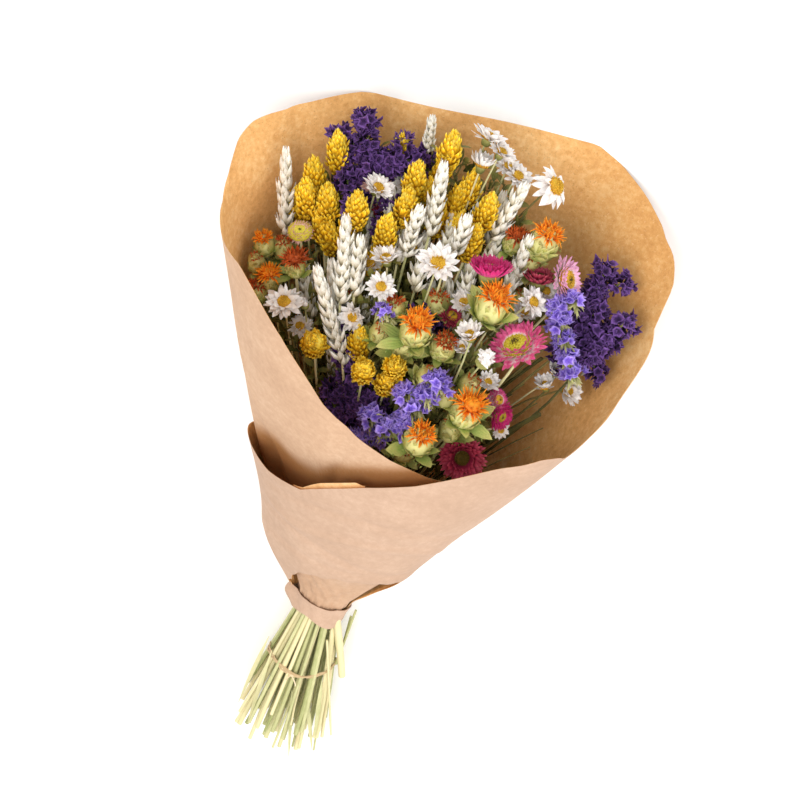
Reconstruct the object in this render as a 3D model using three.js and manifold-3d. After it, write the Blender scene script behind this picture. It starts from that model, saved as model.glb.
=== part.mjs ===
// A bouquet of dried flowers, rolled in a sheet of kraft paper and lying on its back.
// Millimetres. +Z is up, +Y runs from the cut stems to the open mouth, +X is the bouquet's right-hand side.
// Inside this file the neck, where the paper is gathered, is at x = 0, y = 0.

import * as THREE from "three";
import { mergeVertices } from "three/addons/utils/BufferGeometryUtils.js";
import Module from "manifold-3d";

const wasm = await Module();
wasm.setup();

// Driving dimensions

const NECK = new THREE.Vector3(0, 0, 17);
const ORIGIN = new THREE.Vector3(-4, 122, 0);
const PAPER = 0.9;
const GAP = 0.35;
const NECK_WIDTH = 27.4;
const NECK_DEPTH = 27.4;
const STEM_THICK = 3.4;
const STALK_THICK = 2.4;
const SOCKET = 0.8;
const CUT_LENGTH = 116;
const TIE_PLACE = -47;

const COLOURS = {
  paper: 0xdcb184,
  collar: 0xe6c3a2,
  raffia: 0xcdaf87,
  stems: 0xc8cc94,
  canaryGrass: 0xd9a916,
  wheat: 0xd8d0b8,
  daisy: 0xebe4da,
  safflower: 0xa9ad5c,
  violet: 0x6a55c8,
};

// How the bouquet is seen from above, to turn a place in the picture into a place on the table

const VIEW = {
  tilt: THREE.MathUtils.degToRad(28),
  roll: THREE.MathUtils.degToRad(20),
  distance: 1700,
  neckAt: [322, 600],
  middleAt: [400, 400],
  millimetresPerPixel: 0.65,
};

const UP = new THREE.Vector3(0, 0, 1);
const RIGHTWARD = new THREE.Vector3(1, 0, 0);
const MOUTHWARD = new THREE.Vector3(0, Math.cos(VIEW.tilt), -Math.sin(VIEW.tilt));
const VIEWER = new THREE.Vector3(0, Math.sin(VIEW.tilt), Math.cos(VIEW.tilt));

function onPicture([px, py]) {
  const right = px - VIEW.neckAt[0];
  const down = py - VIEW.neckAt[1];
  const across = right * Math.cos(VIEW.roll) + down * Math.sin(VIEW.roll);
  const along = right * Math.sin(VIEW.roll) - down * Math.cos(VIEW.roll);
  return NECK.clone()
    .addScaledVector(RIGHTWARD, across * VIEW.millimetresPerPixel)
    .addScaledVector(MOUTHWARD, along * VIEW.millimetresPerPixel);
}

const EYE = onPicture(VIEW.middleAt).addScaledVector(VIEWER, VIEW.distance);

// The point at a height above the table that shows at a place in the picture
function seen(place, height) {
  const far = onPicture(place);
  return EYE.clone().lerp(far, (EYE.z - height) / (EYE.z - far.z));
}

// Small random draws that come out the same every time

function draws(seed) {
  let state = seed;
  return () => {
    state = (state * 16807) % 2147483647;
    return state / 2147483647;
  };
}

// Solids

// A geometry with only its points, each of them once
function merged(geometry) {
  geometry.deleteAttribute("normal");
  geometry.deleteAttribute("uv");
  return mergeVertices(geometry, 1e-4);
}

function solid(geometry) {
  const bare = merged(geometry);
  return new wasm.Manifold(new wasm.Mesh({
    numProp: 3,
    vertProperties: new Float32Array(bare.attributes.position.array),
    triVerts: new Uint32Array(bare.index.array),
  }));
}

function united(solids) {
  return solids.reduce((all, next) => all.add(next));
}

// The largest body of a solid: scraps that a cut leaves loose are dropped, and hollows sealed inside are filled
function largest(cut) {
  return cut.decompose().reduce((best, next) => (next.volume() > best.volume() ? next : best));
}

// Moves every point of a geometry by a rule
function moved(geometry, rule) {
  const places = geometry.attributes.position;
  const point = new THREE.Vector3();
  for (let i = 0; i < places.count; i += 1) {
    point.fromBufferAttribute(places, i);
    const to = rule(point.clone());
    places.setXYZ(i, to.x, to.y, to.z);
  }
  return geometry;
}

// A ball of facets whose every point is placed by its angle round the axis, its share of the way from the
// bottom to the top, and whether it is an odd or an even point, so that the odd ones can stand out as scales
function relief(sides, rows, rule) {
  const ball = merged(new THREE.SphereGeometry(1, sides, rows).rotateX(-Math.PI / 2));
  return moved(ball, (point) => {
    const row = Math.round((Math.acos(THREE.MathUtils.clamp(-point.z, -1, 1)) / Math.PI) * rows);
    const pole = row === 0 || row === rows;
    const angle = pole ? 0 : Math.atan2(point.y, point.x);
    const column = Math.round((angle / (2 * Math.PI) + 1) * sides) % sides;
    return rule(angle, row / rows, !pole && (column + row) % 2 === 1);
  });
}

function round(radius, angle, height) {
  return new THREE.Vector3(radius * Math.cos(angle), radius * Math.sin(angle), height);
}

// A ring of petals cut from one thin sheet, flat as far as the notches and lifted from there to the tips
function corolla({ petals, notch, reach, width = 0.95, cup, thick, seed = 1, pointed = false }) {
  const draw = draws(seed * 7919);
  const outline = new THREE.Shape();
  for (let k = 0; k < petals; k += 1) {
    const middle = (k / petals) * 2 * Math.PI;
    const length = reach * (0.9 + 0.2 * draw());
    const half = pointed ? 0 : (width * Math.PI) / petals;
    const corners = [[notch, -Math.PI / petals], [length, -half * 0.6], [length * 1.02, half * 0.6]];
    corners.slice(0, pointed ? 2 : 3).forEach(([r, turn], i) => {
      const point = round(r, middle + turn, 0);
      if (k === 0 && i === 0) {
        outline.moveTo(point.x, point.y);
      } else {
        outline.lineTo(point.x, point.y);
      }
    });
  }
  const flat = new THREE.ExtrudeGeometry(outline, { depth: thick, bevelEnabled: false, steps: 1 });
  return moved(flat, (point) => {
    const out = Math.max(Math.hypot(point.x, point.y) - notch, 0) / (reach - notch);
    point.z += cup * out * out;
    return point;
  });
}

// A solid with its foot at 0, 0, 0 and its axis up, set with its foot at a place and its axis along a direction
function planted(body, foot, axis, spin) {
  const turn = new THREE.Quaternion().setFromUnitVectors(UP, axis);
  const twist = new THREE.Quaternion().setFromAxisAngle(UP, spin);
  const place = new THREE.Matrix4().compose(foot, turn.multiply(twist), new THREE.Vector3(1, 1, 1));
  return body.transform(place.elements);
}

// The shapes of the blooms, each with its foot at 0, 0, 0 and its axis up

function canaryGrass({ length, width }) {
  return solid(relief(6, 7, (angle, t, odd) => {
    const full = (width / 2) * Math.sin(Math.PI * t ** 0.82) ** 0.75;
    return round(full * (odd ? 1.12 : 0.86), angle, length * t + (odd ? 1.2 : 0));
  }));
}

function wheatEar({ length, width }) {
  return solid(relief(6, 8, (angle, t, odd) => {
    const full = (width / 2) * Math.sin(Math.PI * t ** 0.9) ** 0.45;
    return round(full * (odd ? 1.15 : 0.66), angle, length * t + (odd ? 2 : 0));
  }));
}

// The eye of a bloom: a low dome on a flat foot
function disc(radius, height, foot) {
  return relief(6, 3, (angle, t, odd) => {
    const z = foot + [-0.4, 0.3, height * 0.75, height][Math.round(t * 3)];
    return round([0, radius, radius * 0.72, 0][Math.round(t * 3)] * (odd ? 1.04 : 0.97), angle, z);
  });
}

function cup(radius, height) {
  return new THREE.ConeGeometry(radius, height, 5).rotateX(-Math.PI / 2).translate(0, 0, height / 2);
}

function daisy({ reach, petals = 8, lift = 0.25, eye = 0.36, seed = 1 }) {
  const base = 4;
  return united([
    solid(corolla({ petals, notch: reach * 0.42, reach, cup: reach * lift, thick: 0.8, seed })
      .translate(0, 0, base)),
    solid(disc(reach * eye, reach * 0.24, base + 0.6)),
    solid(cup(reach * 0.3, base + 0.6)),
  ]);
}

function strawflower({ reach, petals = 8, lift = 0.3, eye = 0.5, seed = 1 }) {
  const base = 7;
  const rings = [1, 0.82].map((share, i) => solid(
    corolla({
      petals: petals - i,
      notch: reach * share * 0.6,
      reach: reach * share,
      cup: reach * share * (lift + 0.14 * i),
      thick: 0.9,
      seed: seed + i,
    }).rotateZ(i * 0.26).translate(0, 0, base + 1.2 * i),
  ));
  return united([
    ...rings,
    solid(disc(reach * eye, reach * 0.28, base + 1.9)),
    solid(cup(reach * 0.42, base + 1.7)),
  ]);
}

function safflower({ width, length, tuft, seed = 1 }) {
  const head = relief(6, 5, (angle, t, odd) => {
    const full = (width / 2) * Math.sin(Math.PI * t ** 0.72) ** 0.6;
    return round(full * (odd ? 1.12 : 0.9), angle, length * t + (odd ? 1.4 : 0));
  });
  const leaves = corolla({
    petals: 5, notch: width * 0.36, reach: width * 0.78, cup: length * 0.2, thick: 0.9, seed, pointed: true,
  }).translate(0, 0, length * 0.14);
  const burst = relief(6, 4, (angle, t, odd) => {
    const polar = Math.PI * (1 - t);
    const reach = tuft * (odd ? 1.12 : 0.55);
    return round(Math.sin(polar) * reach, angle, length * 0.98 + Math.cos(polar) * reach * 0.75 + tuft * 0.2);
  });
  return united([solid(head), solid(leaves), solid(burst)]);
}

function floret(radius, seed) {
  const draw = draws(seed * 104729);
  return solid(relief(5, 3, (angle, t, odd) => {
    const polar = Math.PI * (1 - t);
    const reach = radius * (odd ? 1.25 : 0.8) * (0.85 + 0.3 * draw());
    return round(Math.sin(polar) * reach, angle, Math.cos(polar) * reach);
  }));
}

// The blooms, as they show in the picture: "at" is a place in it and "up" the height above the table

const CANARY_GRASS = [
  { name: "canary_grass_1", heads: [{ at: [338, 153], up: 46 }] },
  { name: "canary_grass_2", heads: [{ at: [314, 178], up: 52 }, { at: [307, 199], up: 60 }, { at: [328, 204], up: 64 }] },
  { name: "canary_grass_3", heads: [{ at: [357, 211], up: 76 }] },
  { name: "canary_grass_4", heads: [{ at: [386, 233], up: 78 }] },
  { name: "canary_grass_5", heads: [{ at: [415, 182], up: 62 }, { at: [406, 208], up: 72 }] },
  { name: "canary_grass_6", heads: [{ at: [450, 152], up: 56 }] },
  { name: "canary_grass_7", heads: [{ at: [457, 203], up: 50 }, { at: [457, 231], up: 58 }] },
  { name: "canary_grass_8", heads: [{ at: [486, 213], up: 66 }, { at: [471, 243], up: 72 }] },
  { name: "canary_grass_9", heads: [{ at: [314, 344], up: 104, width: 19 }] },
  { name: "canary_grass_10", heads: [{ at: [363, 371], up: 116 }] },
  { name: "canary_grass_11", heads: [{ at: [394, 368], up: 112 }, { at: [386, 384], up: 106 }] },
  { name: "canary_grass_12", heads: [{ at: [359, 344], up: 90 }] },
];

const WHEAT = [
  { name: "wheat_1", ears: [{ tip: [286, 150], foot: [285, 236], up: [44, 56] }] },
  {
    name: "wheat_2",
    ears: [
      { tip: [347, 217], foot: [340, 304], up: [80, 88] },
      { tip: [360, 241], foot: [354, 296], up: [84, 86] },
    ],
  },
  { name: "wheat_3", ears: [{ tip: [316, 266], foot: [343, 365], up: [92, 92] }] },
  { name: "wheat_4", ears: [{ tip: [419, 210], foot: [406, 256], up: [84, 76] }] },
  { name: "wheat_5", ears: [{ tip: [444, 166], foot: [429, 236], up: [66, 72] }] },
  { name: "wheat_6", ears: [{ tip: [466, 221], foot: [455, 254], up: [86, 80] }] },
  { name: "wheat_7", ears: [{ tip: [525, 188], foot: [491, 240], up: [56, 62] }] },
  { name: "wheat_8", ears: [{ tip: [529, 241], foot: [512, 286], up: [70, 66] }] },
  { name: "wheat_9", ears: [{ tip: [433, 118], foot: [428, 152], up: [42, 40] }] },
];

const DAISIES = [
  { name: "daisy_1", blooms: [{ at: [284, 302], up: 92, reach: 13 }] },
  { name: "daisy_2", blooms: [{ at: [381, 287], up: 104, reach: 10.5 }] },
  { name: "daisy_3", blooms: [{ at: [438, 263], up: 100, reach: 14 }] },
  { name: "daisy_4", blooms: [{ at: [556, 185], up: 52, reach: 13, lean: [0.7, 0] }] },
  { name: "daisy_5", blooms: [{ at: [520, 175], up: 50, reach: 9.5, lean: [0.2, 0.3] }] },
  { name: "daisy_6", blooms: [{ at: [386, 258], up: 90, reach: 10, lean: [-0.5, 0.4], lift: 0.5 }] },
  {
    name: "daisy_7",
    blooms: [
      { at: [489, 136], up: 46, reach: 12, lean: [0.1, 0.7] },
      { at: [482, 164], up: 54, reach: 11.5, lean: [0, 0.3], lift: 0.4 },
    ],
  },
  { name: "daisy_8", blooms: [{ at: [470, 335], up: 116, reach: 10, lean: [-0.2, 0], lift: 0.6 }] },
  { name: "daisy_9", blooms: [{ at: [484, 362], up: 110, reach: 8.5, lift: 1.3, eye: 0.3, petals: 7 }] },
  { name: "daisy_10", blooms: [{ at: [533, 302], up: 86, reach: 11, lean: [0.4, 0.2] }] },
  {
    name: "daisy_11",
    blooms: [
      { at: [546, 386], up: 72, reach: 10, lean: [-0.2, -0.2], lift: 0.5 },
      { at: [570, 392], up: 66, reach: 10.5, lean: [0.3, -0.3], lift: 0.5 },
    ],
  },
  { name: "daisy_12", blooms: [{ at: [378, 188], up: 66, reach: 12, lean: [0.3, 0.4], lift: 0.4 }] },
];

const STRAWFLOWERS = [
  { name: "strawflower_1", colour: 0xdb5c92, blooms: [{ at: [516, 345], up: 106, reach: 16.5, lean: [-0.15, 0] }] },
  { name: "strawflower_2", colour: 0xd0337a, blooms: [{ at: [490, 270], up: 96, reach: 16, lean: [-0.4, 0.6] }] },
  { name: "strawflower_3", colour: 0xa5234f, blooms: [{ at: [539, 278], up: 70, reach: 11, lean: [0.2, 0.7] }] },
  { name: "strawflower_4", colour: 0xeaa9cd, blooms: [{ at: [567, 279], up: 70, reach: 14, lean: [0.8, 0] }] },
  { name: "strawflower_5", colour: 0xb5343f, blooms: [{ at: [462, 458], up: 96, reach: 13, lean: [0, -0.4] }] },
  { name: "strawflower_6", colour: 0xc8408a, blooms: [{ at: [500, 416], up: 98, reach: 10, lean: [0.5, -0.3] }] },
  { name: "strawflower_7", colour: 0xdcb2a5, blooms: [{ at: [300, 231], up: 74, reach: 10, lean: [-0.2, 0.2] }] },
];

const SAFFLOWERS = [
  { name: "safflower_1", heads: [{ at: [494, 303], up: 104, width: 22, tuft: 10 }] },
  { name: "safflower_2", heads: [{ at: [546, 240], up: 66, width: 20, tuft: 9 }] },
  { name: "safflower_3", heads: [{ at: [515, 240], up: 62, width: 14, tuft: 7 }] },
  { name: "safflower_4", heads: [{ at: [417, 327], up: 114, width: 22, tuft: 10 }] },
  { name: "safflower_5", heads: [{ at: [469, 409], up: 118, width: 22, tuft: 11 }] },
  { name: "safflower_6", heads: [{ at: [420, 438], up: 124, width: 22, tuft: 7 }] },
  { name: "safflower_7", heads: [{ at: [270, 277], up: 78, width: 14, tuft: 8 }] },
  { name: "safflower_8", heads: [{ at: [295, 262], up: 78, width: 14, tuft: 9 }] },
  { name: "safflower_9", heads: [{ at: [264, 243], up: 64, width: 15, tuft: 5 }] },
  { name: "safflower_10", heads: [{ at: [444, 346], up: 98, width: 18, tuft: 5 }] },
];

const STATICE = [
  {
    name: "statice_purple_1", colour: 0x3f2470, floret: 9,
    branches: [
      [[378, 196, 50], [364, 110, 32]], [[372, 160, 44], [336, 126, 34]], [[378, 176, 48], [404, 138, 38]],
      [[374, 190, 50], [348, 180, 52]], [[396, 160, 44], [424, 156, 40]],
    ],
  },
  {
    name: "statice_purple_2", colour: 0x3a2068, floret: 8,
    branches: [
      [[560, 352, 66], [604, 274, 46]], [[590, 295, 52], [622, 284, 42]], [[574, 318, 58], [596, 314, 54]],
      [[566, 366, 68], [624, 324, 58]], [[584, 356, 66], [598, 372, 62]], [[598, 344, 62], [594, 330, 58]],
    ],
  },
  {
    name: "statice_purple_3", colour: 0x2c1848, floret: 8,
    branches: [[[366, 425, 96], [342, 396, 88]], [[360, 404, 92], [350, 358, 78]]],
  },
  {
    name: "statice_violet_1", colour: COLOURS.violet, floret: 8,
    branches: [
      [[404, 424, 112], [358, 440, 106]], [[386, 430, 114], [372, 418, 110]], [[404, 424, 114], [437, 382, 114]],
      [[412, 412, 116], [404, 394, 112]],
    ],
  },
  {
    name: "statice_violet_2", colour: COLOURS.violet, floret: 8,
    branches: [[[573, 376, 84], [556, 308, 82]], [[558, 318, 82], [572, 302, 78]]],
  },
  { name: "statice_violet_3", colour: COLOURS.violet, floret: 8, branches: [[[386, 318, 104], [380, 312, 110]]] },
];

// Bare sticks that stand out of the dark at the lower right
const STICKS = [[[540, 414], 84], [[542, 358], 62]];

// The neck end of a stalk's way and how far up it runs with the others
const GATHERED = 0.42;

function directionAt(foot, lean, facing) {
  const outward = foot.clone().sub(NECK).normalize();
  return outward.multiplyScalar(1 - facing).addScaledVector(VIEWER, facing)
    .addScaledVector(RIGHTWARD, lean[0]).addScaledVector(MOUTHWARD, lean[1]).normalize();
}

// One lump of a bloom: its body, the line through its middle and how thick it is round that line
function lump(body, from, to, radius) {
  return { body, from, to, radius };
}

const blooms = [];
const stalks = [];

function addBloom(name, colour, roughness, lumps) {
  blooms.push({ name, colour, roughness, lumps });
}

// Stalks end a little way inside what they carry, in a socket
function addStalk(foot, axis) {
  stalks.push({ end: foot.clone().addScaledVector(axis, SOCKET), axis });
}

CANARY_GRASS.forEach(({ name, heads }) => {
  addBloom(name, COLOURS.canaryGrass, 0.85, heads.map(({ at, up, width = 16, length = 32 }, i) => {
    const middle = seen(at, up);
    const axis = directionAt(middle, [0, 0], 0.12);
    const foot = middle.clone().addScaledVector(axis, -length / 2);
    if (i === 0) {
      addStalk(foot, axis);
    }
    const head = planted(canaryGrass({ length, width }), foot, axis, i);
    const half = axis.clone().multiplyScalar(length / 2 - width * 0.44);
    return lump(head, middle.clone().sub(half), middle.clone().add(half), width * 0.55);
  }));
});

WHEAT.forEach(({ name, ears }) => {
  addBloom(name, COLOURS.wheat, 0.8, ears.map(({ tip, foot: root, up, width = 14 }, i) => {
    const top = seen(tip, up[0]);
    const foot = seen(root, up[1]);
    const length = top.distanceTo(foot);
    const axis = top.clone().sub(foot).normalize();
    if (i === 0) {
      addStalk(foot, axis);
    }
    const ear = planted(wheatEar({ length, width }), foot, axis, i);
    const end = axis.clone().multiplyScalar(width * 0.36);
    return lump(ear, foot.clone().add(end), top.clone().sub(end), width * 0.49);
  }));
});

DAISIES.forEach(({ name, blooms: heads }, k) => {
  addBloom(name, COLOURS.daisy, 0.7, heads.map(({ at, up, reach, lean = [0, 0], lift, eye, petals }) => {
    const middle = seen(at, up);
    const axis = directionAt(middle, lean, 0.45);
    const foot = middle.clone().addScaledVector(axis, -6);
    addStalk(foot, axis);
    const body = planted(daisy({ reach, lift, eye, petals, seed: k + 1 }), foot, axis, k);
    return lump(body, middle, middle, reach);
  }));
});

STRAWFLOWERS.forEach(({ name, colour, blooms: heads }, k) => {
  addBloom(name, colour, 0.65, heads.map(({ at, up, reach, lean }) => {
    const middle = seen(at, up);
    const axis = directionAt(middle, lean, 0.45);
    const foot = middle.clone().addScaledVector(axis, -9);
    addStalk(foot, axis);
    const body = planted(strawflower({ reach, seed: k + 1 }), foot, axis, k);
    return lump(body, middle, middle, reach);
  }));
});

SAFFLOWERS.forEach(({ name, heads }, k) => {
  addBloom(name, COLOURS.safflower, 0.8, heads.map(({ at, up, width, tuft }) => {
    const length = width * 1.05;
    const middle = seen(at, up);
    const axis = directionAt(middle, [0, 0], 0.15);
    const foot = middle.clone().addScaledVector(axis, -(length + tuft) / 2);
    addStalk(foot, axis);
    const body = planted(safflower({ width, length, tuft, seed: k + 1 }), foot, axis, k);
    const from = foot.clone().addScaledVector(axis, width / 2);
    return lump(body, from, foot.clone().addScaledVector(axis, length), width * 0.6);
  }));
});

STATICE.forEach(({ name, colour, floret: radius, branches }, k) => {
  const lumps = [];
  branches.forEach((ends, b) => {
    const [from, to] = ends.map(([px, py, up]) => seen([px, py], up));
    const count = Math.max(2, Math.ceil(from.distanceTo(to) / (radius * 1.3)));
    if (b === 0) {
      addStalk(from.clone().addScaledVector(to.clone().sub(from).normalize(), -radius * 0.9),
        to.clone().sub(from).normalize());
    }
    for (let i = 0; i < count; i += 1) {
      const at = from.clone().lerp(to, count === 1 ? 0 : i / (count - 1));
      const spin = i * 1.3 + b;
      const tuft = planted(floret(radius, k * 31 + b * 7 + i + 1), at, RIGHTWARD.clone(), spin);
      lumps.push(lump(tuft, at, at, radius));
    }
  });
  addBloom(name, colour, 0.75, lumps);
});

STICKS.forEach(([at, up]) => {
  const end = seen(at, up);
  stalks.push({ end, axis: end.clone().sub(NECK).normalize() });
});

// Where lumps of two blooms would press into each other, both are cut flat, a hair apart

function nearest(a, b) {
  const u = a.to.clone().sub(a.from);
  const v = b.to.clone().sub(b.from);
  let best = null;
  const steps = 8;
  for (let i = 0; i <= steps; i += 1) {
    const onA = a.from.clone().addScaledVector(u, i / steps);
    const share = v.lengthSq() ? THREE.MathUtils.clamp(onA.clone().sub(b.from).dot(v) / v.lengthSq(), 0, 1) : 0;
    const onB = b.from.clone().addScaledVector(v, share);
    const apart = onA.distanceTo(onB);
    if (!best || apart < best.apart) {
      best = { onA, onB, apart };
    }
  }
  return best;
}

function press(a, b) {
  const { onA, onB, apart } = nearest(a, b);
  const reach = 1.5 * (a.radius + b.radius);
  if (apart > reach || a.body.intersect(b.body).isEmpty()) {
    return;
  }
  const way = apart > 0.5 ? onB.clone().sub(onA).normalize() : VIEWER.clone();
  const plane = onA.clone().addScaledVector(way, (apart * a.radius) / (a.radius + b.radius)).dot(way);
  const keep = way.clone().negate();
  a.body = a.body.trimByPlane(keep.toArray(), -(plane - GAP / 2));
  b.body = b.body.trimByPlane(way.toArray(), plane + GAP / 2);
}

blooms.forEach((one, i) => {
  blooms.slice(i + 1).forEach((other) => {
    one.lumps.forEach((a) => other.lumps.forEach((b) => press(a, b)));
  });
});

// Stems: a bound core at the neck, the cut ends that fan out below it, and the stalks to the blooms above it

function rod(curve, steps, thick, sides) {
  const section = new THREE.Shape();
  for (let i = 0; i < sides; i += 1) {
    const corner = round(thick / 2, (i / sides) * 2 * Math.PI, 0);
    if (i) {
      section.lineTo(corner.x, corner.y);
    } else {
      section.moveTo(corner.x, corner.y);
    }
  }
  return new THREE.ExtrudeGeometry(section, { extrudePath: curve, steps, bevelEnabled: false });
}

const CUT_STEMS = 30;
const CORE_BELOW = 16;
const CORE_ABOVE = 62;
const FAN = { halfWidth: 35, above: 21, below: 12.5 };

function cutStems() {
  const draw = draws(2971);
  return Array.from({ length: CUT_STEMS }, (_, i) => {
    const share = Math.sqrt((i + 0.5) / CUT_STEMS);
    const angle = i * Math.PI * (3 - Math.sqrt(5));
    const across = Math.cos(angle) * share;
    const up = Math.sin(angle) * share;
    const inside = NECK_WIDTH / 2 - STEM_THICK / 2;
    const start = new THREE.Vector3(across * inside, 0, NECK.z + up * inside);
    const spread = up > 0 ? FAN.above : FAN.below;
    const cut = new THREE.Vector3(across * FAN.halfWidth, -CUT_LENGTH, NECK.z + up * spread);
    const end = start.clone().lerp(cut, 0.78 + 0.22 * draw());
    return solid(rod(new THREE.LineCurve3(start, end), 1, STEM_THICK * (0.85 + 0.3 * draw()), 4));
  });
}

function core() {
  const barrel = new THREE.CylinderGeometry(1, 1, CORE_ABOVE + CORE_BELOW, 12, 2);
  return solid(moved(barrel, (point) => {
    const end = point.y > 1;
    const spread = end ? 1.5 : 1;
    return new THREE.Vector3(
      (point.x * NECK_WIDTH * spread) / 2,
      Math.abs(point.y) < 1 ? 8 : point.y + (CORE_ABOVE - CORE_BELOW) / 2,
      NECK.z + (end ? 8 : 0) + (point.z * NECK_DEPTH * spread) / 2,
    );
  }));
}

function stalkCurve({ end, axis }) {
  const start = new THREE.Vector3(
    THREE.MathUtils.clamp(end.x * 0.14, -NECK_WIDTH / 2 + 3, NECK_WIDTH / 2 - 3),
    8,
    NECK.z + THREE.MathUtils.clamp((end.z - 70) * 0.1, -NECK_DEPTH / 2 + 3, NECK_DEPTH / 2 - 3),
  );
  const far = end.distanceTo(start);
  const outward = end.clone().sub(NECK).normalize();
  const back = end.clone().addScaledVector(outward.lerp(axis, 0.4).normalize(), -far * 0.3);
  const middle = start.clone().lerp(end, GATHERED);
  middle.x *= 0.7;
  middle.z = THREE.MathUtils.lerp(NECK.z + 14, middle.z, 0.4);
  return new THREE.CubicBezierCurve3(start, middle, back, end);
}

function stalk(way, thick) {
  return solid(rod(way, 3, thick, 3));
}

const ways = stalks.map(stalkCurve);
const stems = largest(united([core(), ...cutStems(), ...ways.map((way) => stalk(way, STALK_THICK))]));

// The room that a stalk takes, with a gap on all sides and beyond its end
const rooms = ways.map((way) => {
  const past = way.getTangent(1).multiplyScalar(GAP);
  const longer = new THREE.CubicBezierCurve3(way.v0, way.v1, way.v2, way.v3.clone().add(past));
  return { points: way.getPoints(16), body: stalk(longer, STALK_THICK + 4 * GAP) };
});

// What a stalk passes through is cut clear of it
function clearOfStalks(body) {
  const box = body.boundingBox();
  const reach = new THREE.Box3(new THREE.Vector3(...box.min), new THREE.Vector3(...box.max))
    .expandByScalar(STEM_THICK);
  return rooms.reduce((rest, room) => {
    const near = room.points.some((point) => reach.containsPoint(point));
    return near ? rest.subtract(room.body) : rest;
  }, body);
}

// The paper: one sheet rolled in a spiral, from the inner flap round the back to the outer band

// Along the bouquet: half the width, the bottom and the top of the rolled paper
const SECTIONS = [
  [-9, 15, 1.6, 32], [0, 15.8, 1.25, 34], [12, 20, 0.6, 40], [30, 31, 0, 54], [60, 46, -3, 72],
  [120, 71, -5, 108], [200, 103, -8, 152], [280, 136, -11, 194], [360, 177, -13, 236],
];

// The free edge, as the turn round the bouquet in degrees (0 is the table side, 90 the right) and the length
const RIM = [
  [-236, 172], [-200, 178], [-185, 185], [-170, 197], [-158, 210], [-143, 244], [-126, 273], [-90, 280], [-80, 290],
  [-70, 306], [-62, 313], [-50, 320], [-30, 337], [0, 348], [20, 355], [44, 330], [60, 306], [68, 280], [80, 256],
  [92, 238], [105, 218], [120, 206], [150, 191], [180, 165], [205, 137], [240, 131], [300, 122],
];

// The gathered edge at the neck
const HEM = [
  [-236, 6], [-180, -4], [-60, -8], [60, -8], [90, 0], [130, 40], [180, 44], [220, 32], [260, 16], [300, 14],
];

function table(rows, at, column = 1) {
  const last = rows.length - 1;
  const next = Math.min(Math.max(rows.findIndex((row) => row[0] >= at), 1), last);
  const [a, b] = at >= rows[last][0] ? [rows[last - 1], rows[last]] : [rows[next - 1], rows[next]];
  const share = (at - a[0]) / (b[0] - a[0]);
  return a[column] + (b[column] - a[column]) * share;
}

const SHEET_START = -236;
const SHEET_END = 300;
const SWAY = 0.008;

function paperPoint(turn, y, inward) {
  const rolled = THREE.MathUtils.smoothstep(turn, 40, 170) - 0.3 * THREE.MathUtils.smoothstep(turn, 200, 270);
  const stand = rolled * Math.min(3 + y * 0.05, 10);
  const half = table(SECTIONS, y, 1) + stand - inward;
  const bottom = table(SECTIONS, y, 2) - stand + inward;
  const top = table(SECTIONS, y, 3) + stand - inward;
  const angle = THREE.MathUtils.degToRad(turn);
  const middle = (top + bottom) / 2;
  return new THREE.Vector3(
    half * Math.sin(angle) + y * SWAY,
    y,
    Math.max(middle - ((top - bottom) / 2) * Math.cos(angle), inward),
  );
}

function sheet() {
  const columns = 46;
  const rows = 5;
  return moved(new THREE.BoxGeometry(1, 1, 1, columns, rows, 1), (point) => {
    const turn = THREE.MathUtils.lerp(SHEET_START, SHEET_END, point.x + 0.5);
    const share = point.y + 0.5;
    const y = THREE.MathUtils.lerp(table(HEM, turn), table(RIM, turn), share ** 1.25);
    return paperPoint(turn, y, point.z > 0 ? PAPER : 0);
  });
}

// A band round the bouquet, wider at its mouth end by its flare, its low side flat on the table
function ring({ place, width, halfWidth, bottom, top, thick, flare }) {
  const inner = halfWidth - thick;
  const profile = [
    [inner, -width / 2], [halfWidth, -width / 2], [halfWidth + flare, width / 2], [inner + flare, width / 2],
    [inner, -width / 2],
  ].map(([r, y]) => new THREE.Vector2(r, y));
  const share = (top - bottom) / 2 / halfWidth;
  return moved(new THREE.LatheGeometry(profile, 18), (point) => {
    const out = Math.hypot(point.x, point.z) - halfWidth - (point.y > 0 ? flare : 0);
    const height = (top + bottom) / 2 + point.z * share;
    return new THREE.Vector3(point.x, point.y + place, Math.max(height, out < -thick / 2 ? thick : 0));
  });
}

function collar() {
  return ring({ place: -4, width: 10, halfWidth: 17.6, bottom: 0.2, top: 34.6, thick: 0.9, flare: 4.5 });
}

function tie() {
  const share = -TIE_PLACE / CUT_LENGTH;
  const inside = NECK_WIDTH / 2 - STEM_THICK / 2;
  const room = STEM_THICK * 0.58 + GAP + 1.4;
  return ring({
    place: TIE_PLACE,
    width: 3,
    halfWidth: THREE.MathUtils.lerp(inside, FAN.halfWidth, share) + room,
    bottom: NECK.z - THREE.MathUtils.lerp(inside, FAN.below, share) - room,
    top: NECK.z + THREE.MathUtils.lerp(inside, FAN.above, share) + room,
    thick: 1.4,
    flare: 0,
  });
}

// The group

const bouquet = new THREE.Group();
bouquet.position.copy(ORIGIN).negate();

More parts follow.
